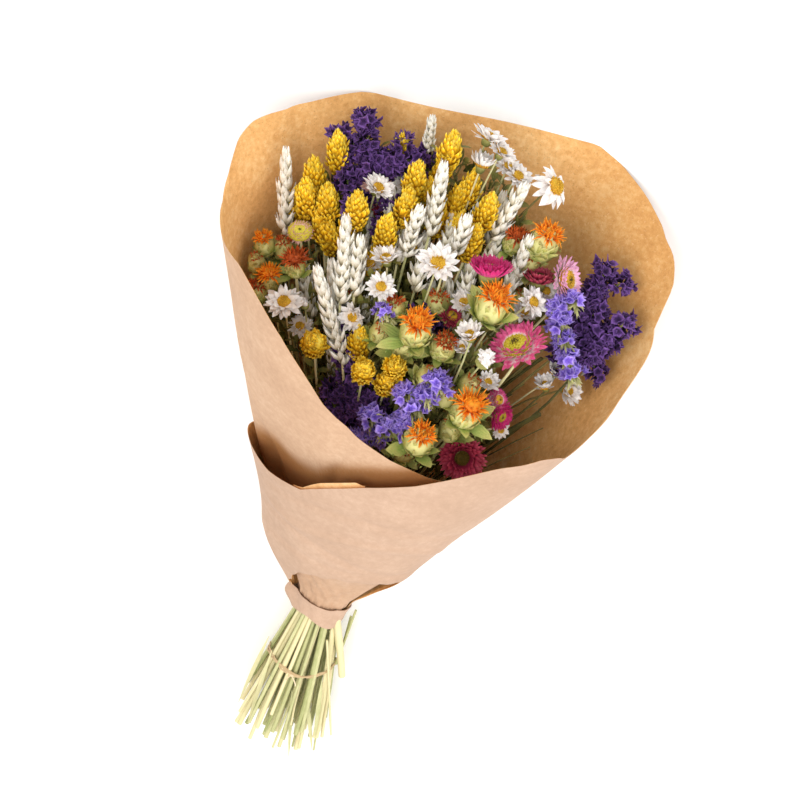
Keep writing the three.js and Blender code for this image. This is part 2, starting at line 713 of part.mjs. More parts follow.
function addNode(name, body, colour, roughness) {
  const box = body.boundingBox();
  const middle = new THREE.Vector3(...box.min).add(new THREE.Vector3(...box.max)).multiplyScalar(0.5).round();
  const mesh = body.getMesh();
  const geometry = new THREE.BufferGeometry();
  geometry.setAttribute("position", new THREE.BufferAttribute(new Float32Array(mesh.vertProperties), 3));
  geometry.setIndex(new THREE.BufferAttribute(new Uint32Array(mesh.triVerts), 1));
  geometry.translate(-middle.x, -middle.y, -middle.z);
  const node = new THREE.Mesh(geometry, new THREE.MeshStandardMaterial({ color: colour, roughness, metalness: 0 }));
  node.name = name;
  node.position.copy(middle);
  bouquet.add(node);
}

addNode("kraft_wrap", solid(sheet()), COLOURS.paper, 0.85);
addNode("neck_collar", solid(collar()), COLOURS.collar, 0.85);
addNode("raffia_tie", solid(tie()), COLOURS.raffia, 0.8);
addNode("stem_bundle", stems, COLOURS.stems, 0.7);
blooms.forEach(({ name, colour, roughness, lumps }) => {
  addNode(name, largest(clearOfStalks(united(lumps.map((one) => largest(one.body))))), colour, roughness);
});

const whole = new THREE.Group();
whole.add(bouquet);

export default whole;
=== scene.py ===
# %% [markdown]
# # A bouquet of dried flowers in kraft paper
#
# The real thing is a bunch of dried flowers, rolled in one sheet of kraft paper and lying on its
# back. The packed model holds its construction. This lesson gives each piece its fine shape and its
# finish, in the same place.

import math

import bpy
import numpy as np
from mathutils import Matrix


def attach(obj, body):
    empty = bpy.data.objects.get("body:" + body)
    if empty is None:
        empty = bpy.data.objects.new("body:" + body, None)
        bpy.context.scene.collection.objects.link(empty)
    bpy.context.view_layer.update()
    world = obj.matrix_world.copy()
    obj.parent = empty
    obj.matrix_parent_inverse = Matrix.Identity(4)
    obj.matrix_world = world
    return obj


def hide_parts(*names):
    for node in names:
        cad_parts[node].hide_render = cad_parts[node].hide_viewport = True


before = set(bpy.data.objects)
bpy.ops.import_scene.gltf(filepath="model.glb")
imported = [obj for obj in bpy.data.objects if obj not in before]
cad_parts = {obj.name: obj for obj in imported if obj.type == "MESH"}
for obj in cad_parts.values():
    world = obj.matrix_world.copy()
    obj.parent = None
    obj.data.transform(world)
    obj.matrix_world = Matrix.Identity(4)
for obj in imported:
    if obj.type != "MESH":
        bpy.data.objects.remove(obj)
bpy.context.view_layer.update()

# %% [markdown]
# ## Places
#
# Blooms were measured on a picture of the bouquet, seen from above and a little from the stem end.
# A place could be typed in as three numbers, but nobody can check such numbers by eye. So a place
# is given as it shows in the picture, with its height above the table, and one formula turns the
# two into a point.

# %% From the picture to the table
MM = 0.001
ORIGIN = np.array([-4, 122, 0]) * MM
NECK = np.array([0, 0, 17]) * MM - ORIGIN
TILT = math.radians(28)
ROLL = math.radians(20)
DISTANCE = 1.7
NECK_AT = (322, 600)
MIDDLE_AT = (400, 400)
PIXEL = 0.65 * MM
UP = np.array([0.0, 0.0, 1.0])
RIGHTWARD = np.array([1.0, 0.0, 0.0])
MOUTHWARD = np.array([0.0, math.cos(TILT), -math.sin(TILT)])
VIEWER = np.array([0.0, math.sin(TILT), math.cos(TILT)])


def on_picture(px, py):
    right = (px - NECK_AT[0]) * PIXEL
    down = (py - NECK_AT[1]) * PIXEL
    across = right * math.cos(ROLL) + down * math.sin(ROLL)
    along = right * math.sin(ROLL) - down * math.cos(ROLL)
    return NECK + RIGHTWARD * across + MOUTHWARD * along


EYE = on_picture(*MIDDLE_AT) + VIEWER * DISTANCE


def seen(px, py, height):
    """The point that shows at a place in the picture, at a height in millimetres above the table."""
    far = on_picture(px, py)
    return EYE + (far - EYE) * (EYE[2] - height * MM) / (EYE[2] - far[2])


def unit(vectors):
    vectors = np.asarray(vectors, float)
    return vectors / np.linalg.norm(vectors, axis=-1, keepdims=True)


def direction_at(place, lean, facing):
    """Where a bloom at a place looks: away from the neck, turned towards the viewer, and leaning."""
    outward = unit(place - NECK) * (1 - facing) + VIEWER * facing
    return unit(outward + RIGHTWARD * lean[0] + MOUTHWARD * lean[1])


print("eye", EYE.round(3))

# %% [markdown]
# ## The camera
#
# The camera stands where the picture was taken from, so a render can be laid beside it. It could be
# tracked to the bouquet by a constraint, but then its roll is left to chance. Here its three
# directions are known from the places above, so they are written into its matrix. A long lens keeps
# the bouquet's proportions.

# %% Camera
from mathutils import Matrix, Vector

PICTURE_WIDTH = 800
SENSOR = 36
FRAME_WIDTH = PICTURE_WIDTH * PIXEL
camera = bpy.data.objects.new("camera", bpy.data.cameras.new("camera"))
bpy.context.scene.collection.objects.link(camera)
camera.data.sensor_width = SENSOR
camera.data.lens = SENSOR * DISTANCE / FRAME_WIDTH
camera.data.clip_end = 20
picture_right = RIGHTWARD * math.cos(ROLL) + MOUTHWARD * math.sin(ROLL)
picture_up = MOUTHWARD * math.cos(ROLL) - RIGHTWARD * math.sin(ROLL)
turned = Matrix((picture_right, picture_up, VIEWER)).transposed().to_4x4()
camera.matrix_world = Matrix.Translation(Vector(EYE)) @ turned
bpy.context.scene.camera = camera
print("lens", round(camera.data.lens, 1), "mm")

# %% [markdown]
# ## The light
#
# Flowers for a catalogue are lit softly, so that every petal reads and no shadow is hard. A sun
# lamp would be simpler but casts hard edges. So two wide panels do it, a warm one from the upper
# left and a whiter one from the right, and a pale surround lifts the shadows inside the paper.

# %% Light
scene = bpy.context.scene
scene.view_settings.view_transform = "Standard"
world = bpy.data.worlds.new("pale surround")
world.use_nodes = True
surround = world.node_tree.nodes["Background"].inputs
surround["Color"].default_value = (1.0, 0.985, 0.965, 1)
surround["Strength"].default_value = 1.05
scene.world = world
LIT_PLACE = Vector((0, 0.05, 0.05))


def panel(name, place, size, power, colour):
    """A square panel of light that faces the bouquet."""
    data = bpy.data.lights.new(name, "AREA")
    data.size = size
    data.energy = power
    data.color = colour
    lamp = bpy.data.objects.new(name, data)
    scene.collection.objects.link(lamp)
    lamp.location = place
    lamp.rotation_euler = (LIT_PLACE - Vector(place)).to_track_quat("-Z", "Y").to_euler()


panel("key", (-0.35, 0.3, 1.4), 0.8, 10, (1.0, 0.965, 0.91))
panel("fill", (1.0, -0.3, 1.1), 0.9, 9, (1.0, 0.98, 0.96))

# %% [markdown]
# ## Small closed shapes
#
# A bouquet is thousands of petals, husks, scales and threads. Each could be an object of its own,
# but Blender slows down with so many, and the exported model wants few and closed meshes. So a
# shape is kept as arrays until the end. What most of them share is a loft: a row of rings, closed
# by a point at either end.

# %% Shapes as arrays
GOLDEN = math.pi * (3 - math.sqrt(5))


class Shape:
    """Points, faces, three values for each point (across, along, tone) and the finish of each face."""

    def __init__(self, points, faces, spots, skins):
        self.points = points
        self.faces = faces
        self.spots = spots
        self.skins = skins


def joined(shapes):
    """Several shapes as one."""
    starts = np.cumsum([0] + [len(s.points) for s in shapes])
    faces = [np.where(s.faces < 0, -1, s.faces + start) for s, start in zip(shapes, starts)]
    return Shape(
        np.concatenate([s.points for s in shapes]),
        np.concatenate(faces),
        np.concatenate([s.spots for s in shapes]),
        np.concatenate([s.skins for s in shapes]),
    )


def loft_faces(rings, sides):
    """The faces of a loft whose points are one end point, the rings, and the other end point."""
    j = np.arange(sides)
    after = (j + 1) % sides
    none = np.full(sides, -1)
    first = np.stack([np.zeros(sides, int), 1 + after, 1 + j, none], 1)
    walls = []
    for r in range(rings - 1):
        low = 1 + r * sides
        walls.append(np.stack([low + j, low + after, low + sides + after, low + sides + j], 1))
    low = 1 + (rings - 1) * sides
    last = np.stack([low + j, low + after, np.full(sides, low + sides), none], 1)
    return np.concatenate([first, *walls, last])


def lofts(rings, spots, skin=0):
    """Many closed lofts: rings has the shape (lofts, rings, sides, 3), and spots is like it."""
    count, rows, sides, _ = rings.shape

    def with_ends(values):
        ends = values.mean(2)
        inner = values.reshape(count, rows * sides, 3)
        return np.concatenate([ends[:, :1], inner, ends[:, -1:]], 1)

    points = with_ends(rings)
    faces = loft_faces(rows, sides)
    size = points.shape[1]
    starts = (np.arange(count) * size)[:, None, None]
    every = np.where(faces < 0, -1, faces[None] + starts).reshape(-1, 4)
    return Shape(points.reshape(-1, 3), every, with_ends(spots).reshape(-1, 3), np.full(len(every), skin))


print("a loft of 4 rings with 5 sides has", len(loft_faces(4, 5)), "faces")

# %% [markdown]
# ## Blades
#
# A petal, a husk, a bract and a leaf are alike: narrow at the foot, widest somewhere, thin, and
# curled. Modelling one and copying it shows at once, so one function makes many closed blades
# together, and each has its own sizes, curl, twist and way of growing. A blade that is as thick as
# it is wide is a thread, a seed or a stalk. An outline says how wide a blade is at each share of
# its length.

# %% Blades
def columns(value, count):
    return np.broadcast_to(np.asarray(value, float), (count,))


def blades(foot, grow, face, length, width, thick, outline, curl=0, cup=0, twist=0, tone=0.5, sides=4,
           skin=0):
    """Closed blades that grow from their feet, with their upper side to face."""
    foot = np.atleast_2d(foot)
    count = len(foot)
    grow = np.broadcast_to(grow, (count, 3))
    face = np.broadcast_to(face, (count, 3))
    side = np.cross(grow, face)
    length, width, thick, curl, cup, twist, tone = (
        columns(v, count)[:, None, None, None] for v in (length, width, thick, curl, cup, twist, tone)
    )
    at, wide = (np.array(v, float)[None, :, None, None] for v in zip(*outline))
    turn = np.where(np.abs(curl) < 1e-3, 1e-3, curl)
    along = length * np.sin(turn * at) / turn
    rise = length * (1 - np.cos(turn * at)) / turn
    grow, face, side = (v[:, None, None, :] for v in (grow, face, side))
    upper = face * np.cos(turn * at) - grow * np.sin(turn * at)
    angle = (np.arange(sides) / sides * 2 * math.pi)[None, None, :, None]
    x = np.cos(angle) * width / 2 * wide
    z = np.sin(angle) * thick / 2 * np.sqrt(wide) + cup * np.cos(angle) ** 2 * width / 2 * wide
    bend = twist * at
    x, z = x * np.cos(bend) - z * np.sin(bend), x * np.sin(bend) + z * np.cos(bend)
    rings = foot[:, None, None, :] + grow * along + face * rise + side * x + upper * z
    zeros = np.zeros(rings.shape[:3] + (1,))
    spots = np.concatenate([np.cos(angle) + zeros, at + zeros, tone + zeros], 3)
    return lofts(rings, spots, skin)


PETAL = [(0, 0.35), (0.2, 0.7), (0.5, 1), (0.75, 0.86), (0.92, 0.4), (1, 0.06)]
HUSK = [(0, 0.4), (0.14, 0.85), (0.4, 1), (0.66, 0.72), (0.85, 0.26), (1, 0.04)]
KEEL = [(0, 0.5), (0.35, 1), (0.72, 0.74), (1, 0.04)]
THREAD = [(0, 0.8), (0.6, 1), (1, 0.3)]
KNOB = [(0, 0.4), (0.55, 1), (1, 0.35)]
LEAF = [(0, 0.1), (0.25, 0.74), (0.5, 1), (0.78, 0.68), (1, 0.05)]
ROUND = [(0, 0.3), (0.3, 0.9), (0.7, 0.95), (1, 0.3)]
EGG = [
    (0, 0.12), (0.06, 0.42), (0.16, 0.7), (0.32, 0.93), (0.5, 1), (0.68, 0.93), (0.84, 0.7), (0.94, 0.42),
    (1, 0.12),
]
print("rings in a petal", len(PETAL), "in a husk", len(HUSK), "in an egg", len(EGG))

# %% [markdown]
# ## Directions round an axis
#
# Petals stand round the way that their bloom looks, as spokes stand round a hub. Empties that are
# parented and turned could carry them. A few lines of vector sums do the same for hundreds at once:
# a direction out of the axis, and a lift from there towards it.

# %% Round an axis
def sidestep(axis):
    """Two directions square to an axis and to each other, the first of them to the right of the picture."""
    first = unit(RIGHTWARD - axis * (axis @ RIGHTWARD))
    return first, np.cross(axis, first)


def around(axis, angles):
    """Directions out of an axis, at angles round it."""
    first, second = sidestep(axis)
    return first * np.cos(angles)[:, None] + second * np.sin(angles)[:, None]


def lifted(out, axis, lift):
    """The way that a blade grows and the way that it faces, when it is lifted from out towards the axis."""
    lift = np.broadcast_to(lift, len(out))[:, None]
    return out * np.cos(lift) + axis * np.sin(lift), axis * np.cos(lift) - out * np.sin(lift)


def along_blade(root, grow, face, length, curl, at):
    """Where a curled blade is at a share of its length, and which way it runs there."""
    turn, length = (columns(v, len(root))[:, None] for v in (curl, length))
    turn = np.where(np.abs(turn) < 1e-3, 1e-3, turn)
    there = root + grow * length * np.sin(turn * at) / turn + face * length * (1 - np.cos(turn * at)) / turn
    return there, grow * np.cos(turn * at) + face * np.sin(turn * at)


print("square to the table's up", sidestep(UP)[0].round(2))

# %% [markdown]
# ## Tubes
#
# A stalk or a strand follows a path. Blender's own curve with a bevel would do for one, but
# hundreds of them in one mesh are quicker as arrays: a ring is laid across each path at each of its
# places.

# %% Tubes along paths
def tubes(paths, thick, tone=0.5, sides=5, skin=0, flat=1.0):
    """Closed tubes along paths (tubes, places, 3). Thick is one number, or one for each place."""
    paths = np.asarray(paths, float)
    count, places, _ = paths.shape
    ahead = unit(np.gradient(paths, axis=1))
    side = unit(np.cross(ahead, VIEWER + 0.01))
    upper = np.cross(side, ahead)
    angle = (np.arange(sides) / sides * 2 * math.pi)[None, None, :, None]
    radius = (np.broadcast_to(thick, (count, places)) / 2)[:, :, None, None]
    ring = side[:, :, None] * np.sin(angle) * radius + upper[:, :, None] * np.cos(angle) * radius * flat
    zeros = np.zeros((count, places, sides, 1))
    at = np.linspace(0, 1, places)[None, :, None, None]
    tone = columns(tone, count)[:, None, None, None]
    spots = np.concatenate([np.cos(angle) + zeros, at + zeros, tone + zeros], 3)
    return lofts(paths[:, :, None] + ring, spots, skin)


print("a short tube has", len(tubes([[UP, UP * 2, UP * 3]], MM).faces), "faces")

# %% [markdown]
# ## From arrays to an object
#
# The arrays are handed to Blender in one go, which is far quicker than adding faces one at a time.
# The three stored values go along as an attribute, for the finishes to read. Each piece then says
# what it rides on, which finish it takes, and which plain solids it stands for.

# %% A piece
pieces = {}
PAPER_SLOTS = ("kraft_paper", "collar_paper", "raffia")


def piece(name, shape, finishes, slot, *nodes, sharp=50):
    """Makes the mesh of a piece, lets it ride on the bouquet, and lets it stand for its nodes."""
    if slot not in PAPER_SLOTS:
        shape.points = inside_paper(shape.points)
    mesh = bpy.data.meshes.new(name)
    corners = (shape.faces >= 0).sum(1)
    flat = shape.faces[shape.faces >= 0]
    mesh.vertices.add(len(shape.points))
    mesh.vertices.foreach_set("co", shape.points.astype(np.float32).ravel())
    mesh.loops.add(len(flat))
    mesh.loops.foreach_set("vertex_index", flat.astype(np.int32))
    mesh.polygons.add(len(corners))
    mesh.polygons.foreach_set("loop_start", (np.cumsum(corners) - corners).astype(np.int32))
    mesh.polygons.foreach_set("material_index", shape.skins.astype(np.int32))
    mesh.polygons.foreach_set("use_smooth", np.ones(len(corners), bool))
    stored = mesh.attributes.new("spot", "FLOAT_VECTOR", "POINT")
    stored.data.foreach_set("vector", shape.spots.astype(np.float32).ravel())
    mesh.update(calc_edges=True)
    mesh.set_sharp_from_angle(angle=math.radians(sharp))
    for finish in finishes:
        mesh.materials.append(finish)
    made = bpy.data.objects.new(name, mesh)
    scene.collection.objects.link(made)
    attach(made, "root")
    if nodes:
        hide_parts(*nodes)
    pieces[name] = int((corners - 2).sum())


print("finished as paper or raffia:", PAPER_SLOTS)

# %% [markdown]
# ## Shader sums as Python
#
# A dried petal is never one colour: it pales at the base, browns at the tip and differs from its
# neighbour. Such finishes are sums of noise and of the values stored in the mesh. Wired by hand
# they become a web that nobody reads, so a small class wraps what comes out of a node and lets
# Python's operators add the nodes.

# %% Wires
class Wire:
    """What comes out of a node. Values meet in Math nodes, colours and vectors in Vector Math nodes."""

    def __init__(self, board, socket):
        self.board = board
        self.socket = socket

    def reckon(self, operation, first, second):
        kinds = {v.socket.type for v in (first, second) if isinstance(v, Wire)}
        kind = "ShaderNodeMath" if kinds == {"VALUE"} else "ShaderNodeVectorMath"
        return self.board.node(kind, {"operation": operation}, {0: first, 1: second})

    def __add__(self, other):
        return self.reckon("ADD", self, other)

    def __radd__(self, other):
        return self.reckon("ADD", other, self)

    def __sub__(self, other):
        return self.reckon("SUBTRACT", self, other)

    def __rsub__(self, other):
        return self.reckon("SUBTRACT", other, self)

    def __mul__(self, other):
        return self.reckon("MULTIPLY", self, other)

    def __rmul__(self, other):
        return self.reckon("MULTIPLY", other, self)

    def clamped(self):
        """Kept between 0 and 1."""
        return self.board.node("ShaderNodeClamp", {}, {"Value": self})


print("a wire knows sums, differences and products")

# %% [markdown]
# ## A board of nodes
#
# Every finish needs the same few things: a node with its settings, noise, a ramp, a mix of two
# colours, and the shader at the end. One method adds any node, and the others are short names for
# what is used often.

# %% Boards
class Board:
    """The nodes of one finish."""

    def __init__(self, name):
        self.material = bpy.data.materials.new(name)
        self.material.use_nodes = True
        self.nodes = self.material.node_tree.nodes
        self.links = self.material.node_tree.links
        self.nodes.clear()

    def node(self, kind, settings, values, output=None):
        """Adds a node: its type, its settings, which come first, and the values or links of its sockets."""
        made = self.nodes.new(kind)
        for name, setting in settings.items():
            if name == "stops":
                self.set_stops(made.color_ramp, setting)
            else:
                setattr(made, name, setting)
        for name, value in values.items():
            socket = made.inputs[name] if isinstance(name, int) else next(
                s for s in made.inputs if s.name == name and s.enabled
            )
            if isinstance(value, Wire):
                self.links.new(value.socket, socket)
            elif hasattr(socket.default_value, "__len__"):
                size = len(socket.default_value)
                socket.default_value = [*np.broadcast_to(value, 3).tolist(), 1.0][:size]
            else:
                socket.default_value = value
        outputs = [s for s in made.outputs if s.enabled and output in (None, s.name)]
        return Wire(self, outputs[0]) if outputs else None

    @staticmethod
    def set_stops(ramp, stops):
        ramp.elements[0].position = stops[0][0]
        ramp.elements[-1].position = stops[-1][0]
        for place, _ in stops[1:-1]:
            ramp.elements.new(place)
        for element, (_, colour) in zip(ramp.elements, stops):
            element.color = (*colour, 1)

    def spot(self, axis):
        """One of the three values stored in the mesh: X is across, Y is along, Z is the tone. On the kraft
        paper X is painted shade, and Z is how much of the rough side shows.
        """
        stored = self.node("ShaderNodeAttribute", {"attribute_name": "spot"}, {}, "Vector")
        return self.node("ShaderNodeSeparateXYZ", {}, {"Vector": stored}, axis)

    def place(self):
        return self.node("ShaderNodeTexCoord", {}, {}, "Object")

    def noise(self, place, scale, detail=2.0, roughness=0.5):
        values = {"Vector": place, "Scale": scale, "Detail": detail, "Roughness": roughness}
        return self.node("ShaderNodeTexNoise", {}, values, "Fac")

    def mixed(self, share, first, second):
        values = {"Factor": share, "A": first, "B": second}
        return self.node("ShaderNodeMix", {"data_type": "RGBA"}, values, "Result")

    def ramp(self, value, stops):
        return self.node("ShaderNodeValToRGB", {"stops": stops}, {"Fac": value}, "Color")

    def finished(self, colour, roughness, height=None, depth=0.0003, **uniform):
        """Ends the finish with its shader. What is the same all over is set on the shader's own sockets."""
        values = {"Base Color": colour, "Roughness": roughness}
        if height is not None:
            values["Normal"] = self.node("ShaderNodeBump", {}, {"Height": height, "Distance": depth})
        for name, value in uniform.items():
            values[name.replace("_", " ").title().replace("Ior", "IOR")] = value
        shader = self.node("ShaderNodeBsdfPrincipled", {}, values)
        self.node("ShaderNodeOutputMaterial", {}, {"Surface": shader})
        return self.material


print("a board has", [name for name in vars(Board) if not name.startswith("_")])

# %% Colours as they look
def paint(red, green, blue):
    """A colour as it looks on screen, in 0 to 255, as the light values that shaders use."""
    share = np.array([red, green, blue]) / 255
    return tuple(np.where(share <= 0.04045, share / 12.92, ((share + 0.055) / 1.055) ** 2.4).tolist())


print("paint", np.round(paint(214, 163, 104), 3))

# %% [markdown]
# ## The finish of kraft paper
#
# Kraft paper is brown and speckled inside, where its rough side shows, and paler and smoother
# outside. The two sides could have a material each, but then neither could shade into the other, as
# they do on the flap. One material can do both, because the mesh stores how much of the rough side
# shows. A second stored value is painted shade: it browns the paper as a painted shadow on the flap
# just above the band, and as painted shade low on the left near the neck and inside the upper right
# corner.

# %% Kraft paper
def kraft_finish():
    board = Board("kraft paper")
    place = board.place()
    inside = board.spot("Z")
    # X is painted shade: a painted shadow above the band, and painted shade near the neck and in a corner.
    covered = board.spot("X")
    cloud = board.noise(place, 26, 4, 0.6)
    blotch = board.noise(place, 240, 4, 0.7)
    fibre = board.noise(place * (1.0, 0.35, 1.0), 1500, 3, 0.7)
    rough_side = board.ramp(blotch * 0.6 + cloud * 0.4, [
        (0.34, paint(212, 154, 90)), (0.5, paint(232, 178, 112)), (0.66, paint(246, 204, 144)),
    ])
    smooth_side = board.ramp(cloud * 0.5 + blotch * 0.5, [
        (0.3, paint(174, 144, 121)), (0.5, paint(185, 154, 131)), (0.7, paint(198, 168, 145)),
    ])
    specks = ((board.noise(place, 900, 2, 0.6) - 0.6) * 7).clamped()
    pale_specks = ((board.noise(place, 640, 2, 0.7) - 0.61) * 8).clamped()
    colour = board.mixed(inside, smooth_side, rough_side) * (0.92 + fibre * 0.16)
    # Painted shade: the colour is darkened towards this brown as far as X says.
    colour = board.mixed(covered, colour, paint(146, 92, 26))
    colour = board.mixed(specks * (0.05 + inside * 0.38), colour, paint(150, 96, 48))
    colour = board.mixed(pale_specks * (inside * 0.35), colour, paint(250, 222, 176))
    relief = fibre * 0.6 + blotch * 0.4
    return board.finished(colour, 0.7 + fibre * 0.2, relief, 0.00025, specular_ior_level=0.35)


KRAFT = kraft_finish()
print(KRAFT.name, "has", len(KRAFT.node_tree.nodes), "nodes")

# %% [markdown]
# ## The finish of stems and raffia
#
# Dry stems and raffia are streaked along their length, and no two have the same shade. An image
# would have to be laid along each of them. Noise that is stretched along the bouquet gives the
# streaks, and a stored tone for each stem picks its shade between three colours.

# %% Straw
def straw_finish(name, low, middle, high, streak=1.0):
    """Dry stems and strips: streaks along them, and each its own shade between three colours."""
    board = Board(name)
    place = board.place()
    tone = board.spot("Z")
    across = board.spot("X")
    fine = board.noise(place * (1.0, 0.16, 1.0), 1300, 3, 0.6)
    coarse = board.noise(place, 90, 3)
    # Painted highlight: across * 0.04 makes the side of each stem that faces the camera a little lighter.
    shade = tone * 0.7 + coarse * 0.25 + (fine - 0.5) * 0.45 * streak + across * 0.04
    colour = board.ramp(shade, [(0.15, low), (0.5, middle), (0.85, high)])
    return board.finished(colour, 0.5 + fine * 0.25, fine, 0.0003, specular_ior_level=0.4)


STEM = straw_finish("stem straw", paint(150, 156, 98), paint(198, 196, 146), paint(228, 214, 170))
# A darker copy of the stem straw: painted shade on the stalks deep in the bunch, while the thick stick at
# the right is dark of itself.
DARK_AND_SHADED_STEM = straw_finish("shaded stalk", paint(58, 60, 30), paint(98, 96, 54), paint(150, 136, 84))
RAFFIA = straw_finish("raffia", paint(190, 164, 124), paint(214, 194, 158), paint(234, 220, 190), 1.3)
print("straw finishes", [v.name for v in (STEM, DARK_AND_SHADED_STEM, RAFFIA)])

# %% [markdown]
# ## The finish of petals, husks and threads
#
# A dried blade changes colour from its foot to its tip, is paler or darker than its neighbour, and
# has fine veins along it. On the canary grass, the wheat and the purple statice the dark foot is
# painted shade where the blades overlap, and the purple statice's lighter rim is a painted highlight.
# Painting each would be endless. The mesh stores how far along and across a blade a point is, and
# the tone of its blade, so one finish with other colours serves them all.

# %% Blades' finish
def blade_finish(name, stops, speckle=0.25, roughness=0.6, gloss=0.35, glow=0.0, vein=14.0, wear=None,
                 edge=None):
    """A dry blade: colours from foot to tip, a tone for each blade, fine veins, and worn spots or edges."""
    board = Board(name)
    place = board.place()
    along = board.spot("Y")
    across = board.spot("X")
    tone = board.spot("Z")
    grain = board.noise(place, 700, 3, 0.6)
    colour = board.ramp(along + (grain - 0.5) * 0.3, stops)
    colour = colour * ((0.72 + tone * 0.5) + (grain - 0.5) * speckle)
    if wear:
        worn = ((board.noise(place, 160, 2) - 0.54) * 5).clamped()
        colour = board.mixed(worn * 0.55, colour, wear)
    if edge:
        colour = board.mixed(((across * across - 0.35) * 2.5).clamped() * 0.7, colour, edge)
    veins = board.node("ShaderNodeMath", {"operation": "SINE"}, {0: across * vein})
    uniform = {"specular_ior_level": gloss}
    if glow:
        uniform.update(subsurface_weight=glow, subsurface_scale=0.003, subsurface_radius=(1.0, 0.7, 0.5))
    return board.finished(colour, roughness + (grain - 0.5) * 0.2, veins * 0.5 + grain, 0.00012, **uniform)


# Painted shade: each scale is dark ochre at its foot, where the scales overlap.
CANARY = blade_finish("canary grass scale", [
    (0.0, paint(96, 60, 4)), (0.35, paint(190, 134, 8)), (0.7, paint(244, 198, 28)),
    (1.0, paint(255, 232, 96)),
], 0.35, wear=paint(190, 158, 36))
# Painted shade: each husk turns grey-brown towards its foot, where the husks overlap.
WHEAT = blade_finish("bleached wheat husk", [
    (0.0, paint(132, 122, 92)), (0.3, paint(200, 192, 168)), (0.6, paint(238, 235, 224)),
    (1.0, paint(252, 250, 244)),
], gloss=0.45, vein=18)
DAISY = blade_finish("white petal", [
    (0.0, paint(214, 200, 184)), (0.3, paint(236, 228, 222)), (1.0, paint(250, 246, 244)),
], 0.1, 0.55, 0.45, 0.15)
print("grasses and petals", CANARY.name, WHEAT.name, DAISY.name)

# %% Discs, cups, leaves and threads
DISC = blade_finish("yellow disc", [
    (0.0, paint(150, 96, 12)), (0.5, paint(208, 150, 26)), (1.0, paint(240, 196, 60)),
])
OLIVE_DISC = blade_finish("olive disc", [
    (0.0, paint(124, 106, 14)), (0.5, paint(188, 170, 32)), (1.0, paint(226, 212, 72)),
])
DARK_DISC = blade_finish("dark disc", [(0.0, paint(60, 44, 14)), (1.0, paint(112, 92, 26))])
GREEN_CUP = blade_finish("green cup", [(0.0, paint(92, 96, 44)), (1.0, paint(150, 148, 84))])
LEAF_GREEN = blade_finish("dry green leaf", [
    (0.0, paint(112, 134, 62)), (0.5, paint(150, 168, 86)), (1.0, paint(196, 190, 112)),
], 0.35, 0.6, 0.4, 0.1, wear=paint(190, 172, 104))
BRACT = blade_finish("safflower bract", [
    (0.0, paint(108, 122, 50)), (0.5, paint(164, 168, 84)), (0.85, paint(200, 192, 118)),
    (1.0, paint(166, 122, 60)),
], 0.35, 0.6, 0.4, 0.1, wear=paint(190, 158, 84), edge=paint(224, 220, 150))
ORANGE = blade_finish("orange thread", [
    (0.0, paint(206, 70, 8)), (0.5, paint(242, 116, 12)), (1.0, paint(255, 168, 40)),
], 0.3, 0.6, 0.3, 0.1)
RED_ORANGE = blade_finish("rusty thread", [(0.0, paint(128, 40, 14)), (1.0, paint(208, 96, 36))], 0.4)
print("finishes so far", len(bpy.data.materials))

# %% Statice
# Painted shade and painted highlight: each cup is near black at its foot and lighter at its rim.
PURPLE = blade_finish("dark purple statice", [
    (0.0, paint(22, 11, 22)), (0.5, paint(38, 22, 50)), (0.85, paint(66, 40, 92)),
    (1.0, paint(106, 72, 140)),
], 0.45, 0.7, 0.2, 0.1, 30)
VIOLET = blade_finish("violet statice", [
    (0.0, paint(146, 144, 96)), (0.4, paint(156, 146, 132)), (0.56, paint(110, 82, 190)),
    (0.85, paint(132, 104, 216)), (1.0, paint(170, 146, 234)),
], 0.35, 0.7, 0.2, 0.15, 30)
STRAW_GREEN = blade_finish("straw-green calyx", [
    (0.0, paint(120, 122, 66)), (0.5, paint(178, 176, 116)), (1.0, paint(214, 206, 158)),
], 0.3)
print("statice", PURPLE.name, VIOLET.name, STRAW_GREEN.name)

# %% [markdown]
# ## The finish of strawflowers
#
# Strawflowers differ in colour but not in how it changes: it keeps to one shade up to the middle of
# a bract, then turns to the next, and ends in a third at the tip. So the places of the colours are
# written once, and each flower gives its three.

# %% Strawflowers in pink and red
def pink_petal(name, foot, middle, tip):
    stops = [(0.0, foot), (0.46, foot), (0.66, middle), (1.0, tip)]
    return blade_finish(name, stops, 0.15, 0.45, 0.5, 0.15, 9)


PINK = pink_petal("pink bract", paint(248, 226, 232), paint(226, 92, 148), paint(208, 62, 126))
MAGENTA = pink_petal("magenta bract", paint(214, 70, 140), paint(214, 44, 124), paint(190, 28, 104))
DEEP_RED = pink_petal("deep red bract", paint(134, 30, 58), paint(176, 50, 82), paint(200, 78, 102))
PALE_PINK = pink_petal("pale pink bract", paint(250, 240, 244), paint(240, 188, 216), paint(236, 160, 204))
ROSY = pink_petal("rosy white bract", paint(240, 222, 210), paint(230, 190, 178), paint(214, 150, 138))
print("finishes", len(bpy.data.materials))

# %% [markdown]
# ## The kraft paper
#
# The wrap is one sheet, rolled in a spiral: it starts as the left front flap, goes round the back
# and the right side, and ends as the low band in front. Cloth simulation could drape it, but stiff
# paper keeps the shape that it was rolled to. So the sheet follows the rolled shape by a formula. A
# section gives the bouquet's half width, and its lowest and highest point, at a place along it. The
# rim and the hem say how far along the bouquet the sheet's two long edges lie, at each turn round
# it in degrees.

